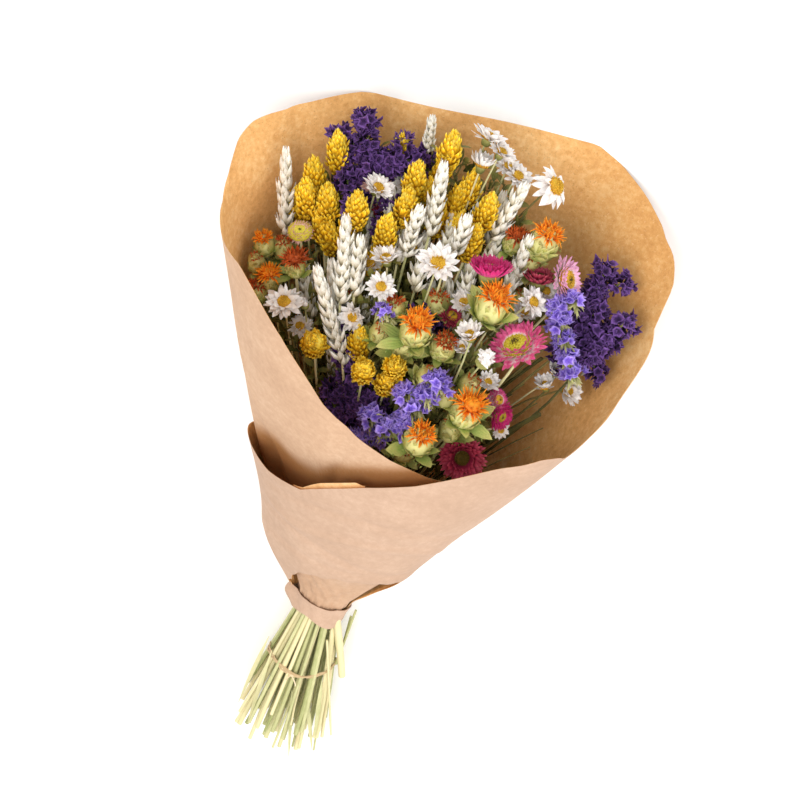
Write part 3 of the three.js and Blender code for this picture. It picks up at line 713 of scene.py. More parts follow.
# %% The rolled shape
SECTIONS = np.array([
    (-9, 15, 1.6, 32), (0, 15.8, 1.25, 34), (12, 18.6, 0.6, 39), (30, 27.5, 0, 53), (60, 46, -3, 72),
    (120, 71, -5, 108), (200, 103, -8, 152), (280, 136, -11, 194), (360, 177, -13, 236),
])
RIM = np.array([
    (-236, 172), (-200, 178), (-185, 185), (-170, 197), (-158, 210), (-143, 244), (-126, 273), (-90, 280),
    (-80, 290), (-70, 306), (-62, 313), (-50, 320), (-30, 337), (0, 348), (20, 355), (44, 330), (60, 306),
    (68, 280), (80, 256), (92, 238), (105, 218), (118, 213), (131, 217), (142, 207), (152, 194), (165, 176),
    (180, 162), (205, 131), (225, 126), (240, 130), (300, 122),
])
HEM = np.array([
    (-236, 6), (-180, -4), (-60, -8), (60, -8), (100, -4), (112, 30), (122, 58), (150, 60), (180, 55),
    (200, 48), (225, 30), (252, 8), (300, 4),
])
SHEET_START, SHEET_END = -236, 300
SWAY = 0.008
PAPER = 0.35
SKIN = 0.25


def in_place(points):
    """From millimetres from the neck to metres in the frame."""
    return np.asarray(points, float) * MM - ORIGIN


def eased(value, low, high):
    """Rises smoothly from 0 at low to 1 at high."""
    share = np.clip((value - low) / (high - low), 0, 1)
    return share * share * (3 - 2 * share)


def bump_at(value, middle, reach):
    """One at the middle, falling smoothly to 0."""
    return np.exp(-(((value - middle) / reach) ** 2))


def along_rim(rows, turn):
    return np.interp(turn, rows[:, 0], rows[:, 1])


def rolled_paper(turn, y, inward):
    """A point of the rolled paper, in millimetres from the neck. Inward is how far inside it lies."""
    rolled = eased(turn, 40, 170) - 0.3 * eased(turn, 200, 270) - 0.65 * eased(turn, 268, 298)
    stand = rolled * np.minimum(3 + y * 0.05, 10)
    half, bottom, top = (np.interp(y, SECTIONS[:, 0], SECTIONS[:, c]) for c in (1, 2, 3))
    half, bottom, top = half + stand - inward, bottom - stand + inward, top + stand - inward
    angle = np.radians(turn)
    height = (top + bottom) / 2 - (top - bottom) / 2 * np.cos(angle)
    return np.stack([half * np.sin(angle) + y * SWAY, y, height], -1)


print("the sheet turns through", SHEET_END - SHEET_START, "degrees")

# %% [markdown]
# ## Pressing the plants inside
#
# Where the paper is wrapped tight, no husk pokes through it. Each bloom could be moved by hand, or
# cut by a boolean, but the first takes days and the second leaves flat ends. So every point of a
# plant that would lie outside the paper is pressed back to just inside it, before its mesh is made.

# %% Inside the paper
ROOM, LOWEST, COVERED_FROM, OVER_RIM = 0.93, 1.0, 14, 6


def inside_paper(points):
    """Where the paper covers a plant, what would stand out through it is pressed back inside."""
    x, y, z = ((points + ORIGIN) / MM).T
    half, bottom, top = (np.interp(y, SECTIONS[:, 0], SECTIONS[:, c]) for c in (1, 2, 3))
    middle, tall = (top + bottom) / 2, (top - bottom) / 2
    across, up = (x - y * SWAY) / half, (z - middle) / tall
    reach = np.hypot(across, up)
    covered = (y > COVERED_FROM) & (y < along_rim(RIM, np.degrees(np.arctan2(across, -up))) + OVER_RIM)
    press = np.where(covered & (reach > ROOM), ROOM / np.maximum(reach, ROOM), 1)
    x = across * press * half + y * SWAY
    z = np.where(covered, np.maximum(middle + up * press * tall, LOWEST), z)
    return in_place(np.stack([x, y, z], -1))


print("far above the neck goes to", inside_paper(np.array([[0.0, 0.0, 1.0]])).round(3))

# %% [markdown]
# ## What hands did to the paper
#
# A sheet rolled by a formula looks like tin. Paper that was handled has gathers where the neck is
# squeezed, soft dents, a few sharp creases, and folds where the band was crumpled. They could be
# sculpted, but then none of them can be changed alone. Here each is a wave or a bump that fades
# where it ends, and together they say how far the paper lies inside its smooth shape.

# %% Folds, dents and creases
def folds(turn, y):
    """How far the paper lies inside its smooth shape, in millimetres."""
    a = np.radians(turn)
    squeezed = np.exp(-np.maximum(y, 0) / 26) * (0.3 + 0.7 * eased(turn, -140, -100))
    gathers = squeezed * (0.75 * np.sin(19 * a) + 0.55 * np.sin(31 * a + 0.7) + 0.35 * np.sin(47 * a + 2))
    spread = eased(y, 20, 150)
    dents = spread * (0.9 * np.sin(3.1 * a + y * 0.021) + 0.7 * np.sin(5.3 * a - y * 0.034 + 1)
                      + 0.35 * np.sin(9.7 * a + y * 0.06 + 2))
    crease = 1.7 * bump_at(turn + y * 0.05, -158, 3) + 1.4 * bump_at(turn - y * 0.03, 38, 3)
    crease = crease - 1.3 * bump_at(turn + y * 0.04, -34, 3) - 1.2 * bump_at(turn - y * 0.05, 8, 3.5)
    flap = 11 * (1 - eased(turn, -118, -106)) * bump_at(y, 112, 42)
    ridge = np.exp(-np.abs(turn + 124 - (y - 120) * 0.2) / 4)
    flap = flap - 1.8 * ridge * eased(y, 90, 120) * (1 - eased(y, 190, 230))
    band = eased(turn, 100, 135) * (1 - eased(turn, 222, 246))
    creased = 1.5 * bump_at(y, 78 + 9 * np.sin(2 * a), 3.2) - 1.6 * bump_at(y, 99 + 6 * np.sin(3 * a), 4)
    creased = creased + 1.2 * bump_at(y, 121 + 7 * np.sin(2.4 * a + 1), 3.5) + 0.9 * bump_at(y, 66, 3)
    hidden = bump_at(y, 26, 20) * eased(turn, -236, -215) * (1 - eased(turn, -150, -120))
    crumpled = 1.8 * np.abs(np.sin(4.3 * a + y * 0.11)) + 1.5 * np.abs(np.sin(7.1 * a - y * 0.19 + 1))
    flared = -2.6 * bump_at(y, 48, 20) * eased(turn, 95, 125) * (1 - eased(turn, 255, 290))
    flared = flared - 5.0 * bump_at(y, 36, 40) * eased(turn, 218, 248) * (1 - eased(turn, 262, 290))
    return gathers + dents + spread * crease + flap + band * creased + hidden * (2.2 + crumpled) + flared


def free_edge(turn):
    """How far the free edge waves along the bouquet."""
    a = np.radians(turn)
    right = eased(turn, 30, 60) * (1 - eased(turn, 120, 160))
    return 0.7 * np.sin(5 * a + 0.4) + 0.4 * np.sin(11 * a + 1.1) + right * 2.4 * np.sin(15 * a + 0.5)


print("inward at the neck in front", round(float(folds(180, 0)), 2), "mm")

# %% [markdown]
# ## The grid of the sheet
#
# The sheet is a grid of points: one way runs round the bouquet, the other from the hem to the free
# edge. A plane could be subdivided and bent, but its edges would be straight. Here each column
# starts on the hem and ends on the rim, so the grid has the outline of the real sheet, and its rows
# lie closer at the neck, where the gathers are.

# %% Points on both sides
TABLE_GAP = 0.02
ACROSS, ALONG = 306, 74


def grid(start, end, across, along):
    """The turns and the shares of the length of a grid over the sheet."""
    return np.meshgrid(np.linspace(start, end, across), np.linspace(0, 1, along), indexing="ij")


def both_sides(turn, y, inward):
    """The outer and the inner side of the paper, in metres, pressed flat where it lies on the table."""
    sides = []
    for depth in (0, PAPER):
        side = rolled_paper(turn, y, inward + depth)
        side[..., 2] = np.maximum(side[..., 2], TABLE_GAP + depth)
        sides.append(in_place(side).reshape(-1, 3))
    return sides


turn, share = grid(SHEET_START, SHEET_END, ACROSS, ALONG)
frill = 0.7 * np.sin(np.radians(turn) * 23) + 0.5 * np.sin(np.radians(turn) * 9)
hem = along_rim(HEM, turn) + frill * (1 - share)
y = hem + (along_rim(RIM, turn) + free_edge(turn) - hem) * share ** 1.25
turn = turn - 20 * (1 - eased(y, 40, 85)) * (1 - eased(turn, SHEET_START, -200))
inward = SKIN + 0.3 + folds(turn, y)
print("paper", ACROSS * ALONG, "points a side")

# %% [markdown]
# ## The sheet as a closed thin form
#
# At its free edge the paper shows a thickness. Blender's solidify modifier could give it, but it
# copies what the mesh stores, and here the two sides have to store different values. So there are
# two like grids, one for each side, and a strip of faces closes them round their four edges.

# %% A closed sheet
def thin_sheet(outer, inner, across, along):
    """Two like grids of points, one on each side of a sheet, closed round its four edges."""
    i, j = (v.ravel() for v in np.meshgrid(np.arange(across - 1), np.arange(along - 1), indexing="ij"))
    corner = i * along + j
    size = across * along
    top = np.stack([corner, corner + along, corner + along + 1, corner + 1], 1)
    ring = np.concatenate([
        np.arange(across - 1) * along,
        (across - 1) * along + np.arange(along - 1),
        np.arange(across - 1, 0, -1) * along + along - 1,
        np.arange(along - 1, 0, -1),
    ])
    after = np.roll(ring, -1)
    edge = np.stack([ring, ring + size, after + size, after], 1)
    faces = np.concatenate([top, top[:, ::-1] + size, edge])
    zeros = np.zeros(size)
    spots = np.concatenate([
        np.stack([zeros, zeros + 0.5, zeros], 1),
        np.stack([zeros, zeros + 0.5, zeros + 1], 1),
    ])
    return Shape(np.concatenate([outer, inner]), faces, spots, np.zeros(len(faces), int))


sheet = thin_sheet(*both_sides(turn, y, inward), ACROSS, ALONG)
print("the sheet has", len(sheet.faces), "faces")

# %% [markdown]
# ## The shade stored in the sheet
#
# Some of the paper's colour is painted shade. A painted shadow browns the flap just above the band,
# and painted shade browns the paper low on the left near the neck and inside the upper right corner.
# The flap also shows a little of the rough side's colour. A painted image would need the sheet
# unrolled. The points of the mesh can carry it: one value says how much painted shade they get,
# another how much of the rough side they show.

# %% Stored shade
# Painted shade low on the left near the neck, where the band lies over the paper.
pocket = (1 - eased(y, 30, 62)) * (1 - eased(turn, -110, -80))
over_band = y - along_rim(RIM, turn + 360) + 2 * np.sin(turn * 0.16)
# Painted shadow: the strip of the flap just above the band's rim.
covered = (1 - eased(over_band, 6, 19)) * eased(y, 50, 62) * (1 - eased(turn, -104, -86))
# Painted shade inside the upper right corner.
shaded = eased(turn, 12, 30) * (1 - eased(turn, 58, 78)) * eased(y, 190, 240)
flap = (1 - eased(turn, -104, -86)) * eased(y, 60, 84)
# The first stored value is painted shade, and the third is how much of the rough side shows.
PAINTED_SHADE, ROUGH = 0, 2
outer_side, inner_side = np.split(sheet.spots, 2)
outer_side[:, ROUGH] = (0.1 * pocket + 0.14 * flap).ravel()
outer_side[:, PAINTED_SHADE] = (0.8 * covered + 0.12 * pocket).ravel()
inner_side[:, PAINTED_SHADE] = (0.3 * shaded).ravel()
print("brown at most", sheet.spots[:, PAINTED_SHADE].max().round(2))

# %% [markdown]
# ## The lip of the band
#
# Left of its middle the band shows a second edge just above its own, where the paper was turned in.
# The sheet itself could be folded there, but that would pinch its grid. So the lip is a short sheet
# of its own, close behind the band.

# %% The lip
LIP_ACROSS, LIP_ALONG = 44, 7
LIP_START, LIP_END, LIP_RISE, LIP_FOOT, LIP_BEHIND = 180, 210, 4.2, 6, 1.6
turn, share = grid(LIP_START, LIP_END, LIP_ACROSS, LIP_ALONG)
rise = LIP_RISE * eased(turn, LIP_START, LIP_START + 4) * (1 - eased(turn, LIP_END - 14, LIP_END))
y = along_rim(RIM, turn) + free_edge(turn) - LIP_FOOT + (LIP_FOOT + rise) * share
inward = SKIN + LIP_BEHIND + folds(turn, y) + 0.8 * share
lip = thin_sheet(*both_sides(turn, y, inward), LIP_ACROSS, LIP_ALONG)
lip.spots[:, ROUGH] = 0.7
piece("kraft_sheet", joined([sheet, lip]), [KRAFT], "kraft_paper", "kraft_wrap", sharp=70)
print(pieces)

# %% [markdown]
# ## The collar
#
# Below the band the gathered paper is folded over into a narrow strip that holds the neck. A torus
# that is pushed about by a texture would have round folds. These are a few sharp ones, so the
# radius of the ring is a sum of waves whose lower halves are turned up, and an outer and an inner
# wall close into one hollow ring.

# %% The collar
CUT_LENGTH = 116
TIE_PLACE = -47
NECK_Z = 17
NECK_HALF = 13.7
STEM_THICK = 3.4
FAN_HALF, FAN_ABOVE, FAN_BELOW = 35, 21, 12.5
COLLAR_PLACE, COLLAR_WIDTH, COLLAR_HALF, COLLAR_FLARE = -0.5, 13, 17.6, 2.2
COLLAR_POINT, COLLAR_TIP = 2.75, 4.55
COLLAR_TURNS, COLLAR_ROWS, COLLAR_THICK = 180, 11, 0.5


def full_turn(steps):
    """Angles all round, without the last one, which is the first again."""
    return np.linspace(0, 2 * math.pi, steps + 1)[:-1]


angle, share = np.meshgrid(full_turn(COLLAR_TURNS), np.linspace(0, 1, COLLAR_ROWS), indexing="ij")
wave = 0.7 * np.abs(np.sin(3.5 * angle + 0.9 * share))
wave = wave + 0.5 * np.abs(np.sin(5.5 * angle - 1.2 * share)) - 0.6
point = bump_at(angle, COLLAR_POINT, 0.55)
tip = bump_at(angle, COLLAR_TIP, 0.3)
length = COLLAR_PLACE + COLLAR_WIDTH * (share - 0.5) - 2.5 * point * (1 - share)
length = length + 1.2 * np.sin(angle * 2 + 0.6)
length = length + (share - 0.5) * 1.6 * np.sin(3 * angle + 1) + 2 * tip * share
walls = []
for depth in (0.0, COLLAR_THICK):
    reach = COLLAR_HALF - 0.6 - depth + COLLAR_FLARE * share ** 1.5 + wave * (0.5 + 0.5 * share)
    reach = reach + 7.5 * tip * bump_at(share, 0.6, 0.5)
    rise = 17.2 * (reach / COLLAR_HALF)
    height = np.maximum(17.4 - rise * np.cos(angle), 0.05 + depth)
    walls.append(np.stack([reach * np.sin(angle), length, height], -1))
around_collar = np.concatenate([walls[0], walls[1][:, ::-1]], 1)
print("collar", COLLAR_TURNS, "steps round, each of", around_collar.shape[1], "points")

# %% The collar as a closed ring
def closed_tube(ring):
    """A grid of points that closes both ways, such as a ring with a hollow section."""
    turns, places, _ = ring.shape
    i, j = (v.ravel() for v in np.meshgrid(np.arange(turns), np.arange(places), indexing="ij"))
    after_i, after_j = (i + 1) % turns, (j + 1) % places
    here, ahead = i * places, after_i * places
    faces = np.stack([here + j, here + after_j, ahead + after_j, ahead + j], 1)
    spots = np.zeros((turns * places, 3)) + (0, 0.5, 0)
    return Shape(ring.reshape(-1, 3), faces, spots, np.zeros(len(faces), int))


collar = closed_tube(in_place(around_collar))
piece("paper_collar", collar, [KRAFT], "collar_paper", "neck_collar", sharp=35)
print("collar faces", len(collar.faces))

# %% [markdown]
# ## The raffia tie
#
# Raffia is a flat strip of leaf. Here it is wound round the fanned stems in three turns that cross
# and never lie quite alike, and it ends in a small knot. A curve with a bevel would make round
# strings. So a flat section with six corners is carried round the stems, a little wavy, and the
# knot is an egg with two short ends.

# %% A strand of raffia
FLAT_SECTION = np.array([(-1, -0.25), (-0.5, 0.3), (0.5, 0.3), (1, -0.25), (0.5, -0.55), (-0.5, -0.55)])
STRANDS = [(0.8, 1.1, 0.0, 1.7), (-1.4, 1.6, 2.1, 1.4), (1.9, 1.4, 4.0, 1.1)]


def strand(slope, room, phase, width):
    """A flat strand round the fanned stems: the rings of a closed strip."""
    share = -TIE_PLACE / CUT_LENGTH
    half = NECK_HALF - STEM_THICK / 2
    side, above, below = (half + (v - half) * share + room for v in (FAN_HALF, FAN_ABOVE, FAN_BELOW))
    a = full_turn(120)
    out = 1 + 0.012 * np.sin(11 * a + phase) + 0.008 * np.sin(23 * a)
    height = np.where(np.cos(a) > 0, -below, -above) * np.cos(a) * out
    place = TIE_PLACE + slope * np.sin(a + phase) + 0.5 * np.sin(5 * a + phase)
    place = place - 5 * bump_at(a, math.pi, 0.7) + 6 * bump_at(a, math.pi / 2, 0.6)
    path = np.stack([side * out * np.sin(a), place, NECK_Z + height], -1)
    outward = unit(np.stack([np.sin(a), 0 * a, -np.cos(a)], -1))
    along = np.array([0, 1, 0])
    across, up = FLAT_SECTION[None, :, :1], FLAT_SECTION[None, :, 1:]
    ring = path[:, None] + along * across * width / 2 + outward[:, None] * up
    return ring[:, ::-1]


strands = [closed_tube(in_place(strand(*row))) for row in STRANDS]
print("turns of raffia", len(strands))

# %% The knot and the piece
KNOT = (-2, TIE_PLACE - 5, NECK_Z + 16.6)
knot_ends = []
for bend, drop in ((-0.4, 4), (0.8, 6)):
    t = np.linspace(0, 1, 8)[:, None]
    curl = np.sin(t * 3) * (1.2 * bend, 0, 1.0)
    knot_ends.append(np.array(KNOT) + t * (bend * 6, -drop, 1.5) + curl)
knot_ends = tubes(in_place(np.stack(knot_ends)), 0.9 * MM, [0.4, 0.6], 6, flat=0.5)
knot_foot = in_place(KNOT) - (1.8 * MM, 0, 0)
knot_body = blades(knot_foot, RIGHTWARD, UP, 3.6 * MM, 2.6 * MM, 2.2 * MM, EGG, sides=8)
piece("raffia_strands", joined([*strands, knot_ends, knot_body]), [RAFFIA], "raffia", "raffia_tie")
print("raffia triangles", pieces["raffia_strands"])

# %% [markdown]
# ## The cut stems
#
# The cut stems fan out below the neck in the order of a seed head, each a turn of the golden angle
# from the one before it, so the bunch fills evenly. Their lengths could be drawn anew, but then
# they would miss the plain stems. The packed model draws them from a simple seeded rule, which is
# repeated here, so each lies where its plain one does.

# %% Where the cut stems run
CUT_STEMS = 30
LENGTH_SEED, MULTIPLIER, MODULUS = 2971, 16807, 2147483647


def repeated_draws(seed, count):
    """The same draws as the packed model's."""
    values = []
    for _ in range(count):
        seed = seed * MULTIPLIER % MODULUS
        values.append(seed / MODULUS)
    return values


def fan_rise(up):
    """How far a cut end lies above or below the neck's middle, at a share of the fan's height."""
    return up * (FAN_ABOVE if up > 0 else FAN_BELOW)


lengths = repeated_draws(LENGTH_SEED, 2 * CUT_STEMS)
draw = np.random.default_rng(11)
rods, thicks = [], []
inside = NECK_HALF - STEM_THICK / 2
for i in range(CUT_STEMS):
    share = math.sqrt((i + 0.5) / CUT_STEMS)
    lean = i * GOLDEN
    across, up = math.cos(lean) * share, math.sin(lean) * share
    start = np.array([across * inside, 0, NECK_Z + up * inside])
    cut = np.array([across * FAN_HALF, -CUT_LENGTH, NECK_Z + fan_rise(up)])
    end = start + (cut - start) * (0.78 + 0.22 * lengths[2 * i])
    rods.append((start + (start - end) * 0.12, end))
    thicks.append(STEM_THICK * (0.85 + 0.3 * lengths[2 * i + 1]))
print("longest stem", round(-min(end[1] for _, end in rods)), "mm below the neck")

# %% [markdown]
# ## A cut stem
#
# No dry stem is a straight rod: it bends a little, swells at a node and thins towards its cut. A
# cylinder with a bend modifier would do for one. Here all stems of a kind are tubes along bent
# paths, and each has its own draw. Thinner ones and an outer ring fill the gaps that the main ones
# leave.

# %% Main, thin and outer stems
STEM_LOWEST = 1.9
THIN_STEMS, OUTER_STEMS = 22, 16
THIN_INSIDE = 10


def cut_stems(ends, thick, sides, bend, shape_draw, tone=None):
    """Nearly straight stems with a slight bend and a bulge at a node, thinner towards their cut."""
    places = 12
    t = np.linspace(0, 1, places)[None, :, None]
    first = np.array([a for a, _ in ends])[:, None]
    last = np.array([b for _, b in ends])[:, None]
    side = shape_draw.normal(0, bend, (len(ends), 1, 3)) * (1, 0.2, 0.6)
    paths = first + (last - first) * t + side * np.sin(math.pi * t) * t
    paths[..., 2] = np.maximum(paths[..., 2], STEM_LOWEST)
    widths = np.array(thick)[:, None] * (1.04 - 0.16 * t[..., 0])
    node_at = shape_draw.uniform(0.45, 0.85, (len(ends), 1))
    widths = widths * (1 + 0.16 * bump_at(t[..., 0], node_at, 0.03))
    tone = shape_draw.uniform(0, 1, len(ends)) if tone is None else tone
    return tubes(in_place(paths), widths * MM, tone, sides)


thin_ends = []
for i in range(THIN_STEMS):
    a, r = i * GOLDEN + 1.1, math.sqrt((i + 0.5) / THIN_STEMS)
    across, up = math.cos(a) * r, math.sin(a) * r
    start = (across * THIN_INSIDE, 4, NECK_Z + up * THIN_INSIDE)
    reach = draw.uniform(0.72, 1.0) - 0.14 * max(0, -across)
    end = (across * FAN_HALF * reach, -CUT_LENGTH * reach, NECK_Z + fan_rise(up) * reach)
    thin_ends.append((np.array(start), np.array(end)))
outer_ends = []
for i in range(OUTER_STEMS):
    a = (i + 0.5) / OUTER_STEMS * 2 * math.pi
    across, up = math.cos(a), math.sin(a)
    reach = draw.uniform(0.7, 0.98) - 0.12 * max(0, -across)
    start = np.array((across * inside, 2, NECK_Z + up * inside))
    cut = np.array((across * FAN_HALF, -CUT_LENGTH, NECK_Z + fan_rise(up)))
    outer_ends.append((start, start + (cut - start) * reach))
stems = [
    cut_stems(rods, thicks, 10, 1.5, draw),
    cut_stems(thin_ends, draw.uniform(1.0, 2.1, THIN_STEMS), 7, 2.5, draw),
    cut_stems(outer_ends, draw.uniform(2.0, 3.6, OUTER_STEMS), 9, 1.2, draw),
]
print("cut stems", len(rods) + len(thin_ends) + len(outer_ends))

# %% [markdown]
# ## Stems that stand out
#
# A few ends catch the eye: a stub as thick as a pencil, thin ones beside it, and dry leaves that
# end in a point. A draw wouldn't put them in the right place. So each is given from one place in
# the picture to another, with its height, its thickness, and for a stub its tone.

# %% Stubs and pointed leaves
STUBS = [
    ((335, 602), (342, 676), 27, 5.2, 0.85), ((336, 664), (356, 610), 22, 1.8, 0.2),
    ((340, 656), (351, 616), 20, 1.6, 0.1), ((330, 630), (341, 655), 24, 2.0, 0.3),
    ((327, 640), (331, 735), 30, 1.5, 0.8),
]
POINTED_LEAVES = [
    ((269, 636), (240, 699), 24, 3.0), ((272, 650), (249, 719), 30, 3.0), ((292, 690), (289, 755), 32, 2.4),
    ((306, 690), (312, 748), 30, 3.0), ((322, 680), (315, 736), 32, 3.2),
]
DROP = 6


def picture_line(start_at, end_at, height):
    """From one place in the picture to a slightly lower one, in millimetres from the neck."""
    return (seen(*start_at, height) + ORIGIN) / MM, (seen(*end_at, height - DROP) + ORIGIN) / MM


for start_at, end_at, height, thick, tone in STUBS:
    stems.append(cut_stems([picture_line(start_at, end_at, height)], [thick], 9, 0.4, draw, tone))
for start_at, end_at, height, wide in POINTED_LEAVES:
    start, end = seen(*start_at, height), seen(*end_at, height - DROP)
    way = unit(end - start)
    face = unit(VIEWER - way * (way @ VIEWER))
    long = np.linalg.norm(end - start)
    twist, tone = draw.normal(0, 0.5), draw.uniform(0.1, 0.7)
    stems.append(blades(start, way, face, long, wide * MM, 0.7 * MM, LEAF, 0.15, 0.3, twist, tone, 6))
print("stems that stand out", len(STUBS) + len(POINTED_LEAVES))

# %% [markdown]
# ## The stalks
#
# Above the neck each stem goes on as the stalk of one bloom. Drawing each as a curve by hand is
# slow, and has to be done again when a bloom moves. So a bloom only asks for a stalk, with its
# place and the way it looks, and a formula leads it there: bundled low down, spreading near the
# top. All of them are made together, at the end.

# %% The way of a stalk
stalk_ends = []


# A dark stalk takes the darker straw: painted shade deep in the bunch, and the thick stick's own dark
# colour.
def on_stalk(end, axis, thick=2.0, dark=False):
    """Asks for a stalk from the neck to a place, where it arrives along an axis."""
    stalk_ends.append((np.array(end), np.array(axis), thick * MM, dark))


def stalk_path(end, axis, places):
    """The way of a stalk in the bouquet: bundled low down, spreading near the top."""
    end = (np.array(end) + ORIGIN) / MM
    start = np.array([
        np.clip(end[0] * 0.14, 3 - NECK_HALF, NECK_HALF - 3), 8,
        NECK_Z + np.clip((end[2] - 70) * 0.1, 3 - NECK_HALF, NECK_HALF - 3),
    ])
    aside = float(eased(end[0], 20, 70))
    outward = unit(end - (0, 0, NECK_Z)) + RIGHTWARD * 0.4 * aside
    back = end - unit(outward * 0.6 + axis * 0.4) * np.linalg.norm(end - start) * 0.3
    middle = start + (end - start) * 0.42
    middle[0] *= 0.7 - 0.3 * aside
    middle[2] = (NECK_Z + 14) * 0.6 + middle[2] * 0.4
    t = np.linspace(0, 1, places)[:, None]
    s = 1 - t
    return in_place(s**3 * start + 3 * s * s * t * middle + 3 * s * t * t * back + t**3 * end)


print("a stalk sets out from", stalk_path(EYE, VIEWER, 2)[0].round(3))

# %% [markdown]
# ## The blooms, and canary grass first
#
# Each kind is built once, as a function of where it sits, where it looks and how large it is, and
# then called for every bloom. Sculpting one and copying it would be quicker, but copies show. A
# head of canary grass is an egg of keeled scales, each lying over the next one up. Hair particles
# could carry them, but wouldn't keep their order. So the scales stand at the turns of a seed head
# round a plain core, and close up towards the tip. The places are those of the picture, so each
# fine head lies where its plain one is.

# %% Where the canary grass is
CANARY_GRASS = [
    [((338, 153), 46)],
    [((314, 178), 52), ((307, 199), 60), ((328, 204), 64)],
    [((357, 211), 76)],
    [((386, 233), 78)],
    [((415, 182), 62), ((406, 208), 72)],
    [((450, 152), 56)],
    [((457, 203), 50), ((457, 231), 58)],
    [((486, 213), 66), ((471, 243), 72)],
    [((314, 344), 104, 21, 27, 0.5)],
    [((363, 371), 116, 18, 26, 0.5)],
    [((395, 368), 112, 17, 23, 0.6), ((386, 384), 106, 15, 25, 0.4)],
    [((359, 344), 90)],
]
USUAL_HEAD = (16, 32, 0.12)
print("canary grass", sum(len(heads) for heads in CANARY_GRASS), "heads")

# %% A head of canary grass
SCALE_LENGTH, SCALE_WIDTH, SCALE_THICK = 6.4 * MM, 2.8 * MM, 1.4 * MM


def canary_head(middle, axis, length, width, draw, count=138):
    """An egg-shaped head of keeled scales, each overlapping the next one up."""
    i = np.arange(count)
    t = (i + 0.5) / count
    foot = middle - axis * length / 2
    out = around(axis, i * GOLDEN + draw.uniform(0, 6))
    full = width / 2 * np.sin(math.pi * t ** 0.82) ** 0.75
    grow, inner = lifted(out, axis, np.radians(22 + 44 * t) + draw.normal(0, 0.16, count))
    root = foot + axis * (length * (0.02 + 0.84 * t))[:, None] + out * (full * 0.5)[:, None]
    size = (0.84 + 0.2 * np.sin(math.pi * t)) * draw.uniform(0.8, 1.15, count)
    twist, tone = draw.normal(0, 0.35, count), np.clip(draw.normal(0.55, 0.3, count), 0, 1)
    scales = blades(root, grow, -inner, SCALE_LENGTH * size, SCALE_WIDTH * size, SCALE_THICK, KEEL,
                    -0.8, -0.5, twist, tone)
    core_foot, thick = foot + axis * 0.5 * MM, width * 0.62
    core = blades(core_foot, axis, sidestep(axis)[0], length * 0.9, thick, thick, EGG, tone=0, sides=10)
    return joined([scales, core])


def canary_stalk(middle, axis, length):
    on_stalk(middle - axis * (length / 2 - 1.5 * MM), axis, 1.7)


draw = np.random.default_rng(21)
for number, heads in enumerate(CANARY_GRASS, 1):
    shapes = []
    for spot, height, *form in heads:
        width, length, facing = form or USUAL_HEAD
        middle = seen(*spot, height)
        axis = direction_at(middle, (0, 0), facing)
        shapes.append(canary_head(middle, axis, length * MM, width * MM, draw))
        canary_stalk(middle, axis, length * MM)
    piece(f"canary_head_{number}", joined(shapes), [CANARY], "canary_grass", f"canary_grass_{number}")
print("triangles so far", sum(pieces.values()))

# %% [markdown]
# ## Wheat
#
# A bleached ear of wheat holds its grains in two rows, a step to the left and a step to the right,
# each with four pointed husks and short beards. An array modifier would repeat one step exactly. So
# the husks are drawn one by one, smaller at both ends, and the whole ear is turned so that its
# broad side shows.

# %% Where the wheat is
WHEAT_EARS = [
    [((286, 150), (285, 236), (44, 56))],
    [((347, 217), (340, 304), (80, 88)), ((360, 241), (354, 296), (84, 86))],
    [((316, 266), (343, 365), (92, 92))],
    [((419, 210), (406, 256), (84, 76))],
    [((444, 166), (429, 236), (66, 72))],
    [((466, 221), (455, 254), (86, 80))],
    [((525, 188), (491, 240), (56, 62))],
    [((529, 241), (512, 286), (70, 66))],
    [((432, 119), (428, 152), (42, 40, 0.66))],
]
print("wheat", sum(len(ears) for ears in WHEAT_EARS), "ears")

# %% An ear of wheat
STEP = 3.7 * MM
HUSK_FAN = [-1.35, -0.5, 0.5, 1.35]
HUSK_LENGTH, HUSK_WIDTH, HUSK_THICK, HUSK_CURL = 9.0 * MM, 3.7 * MM, 2.3 * MM, -0.45


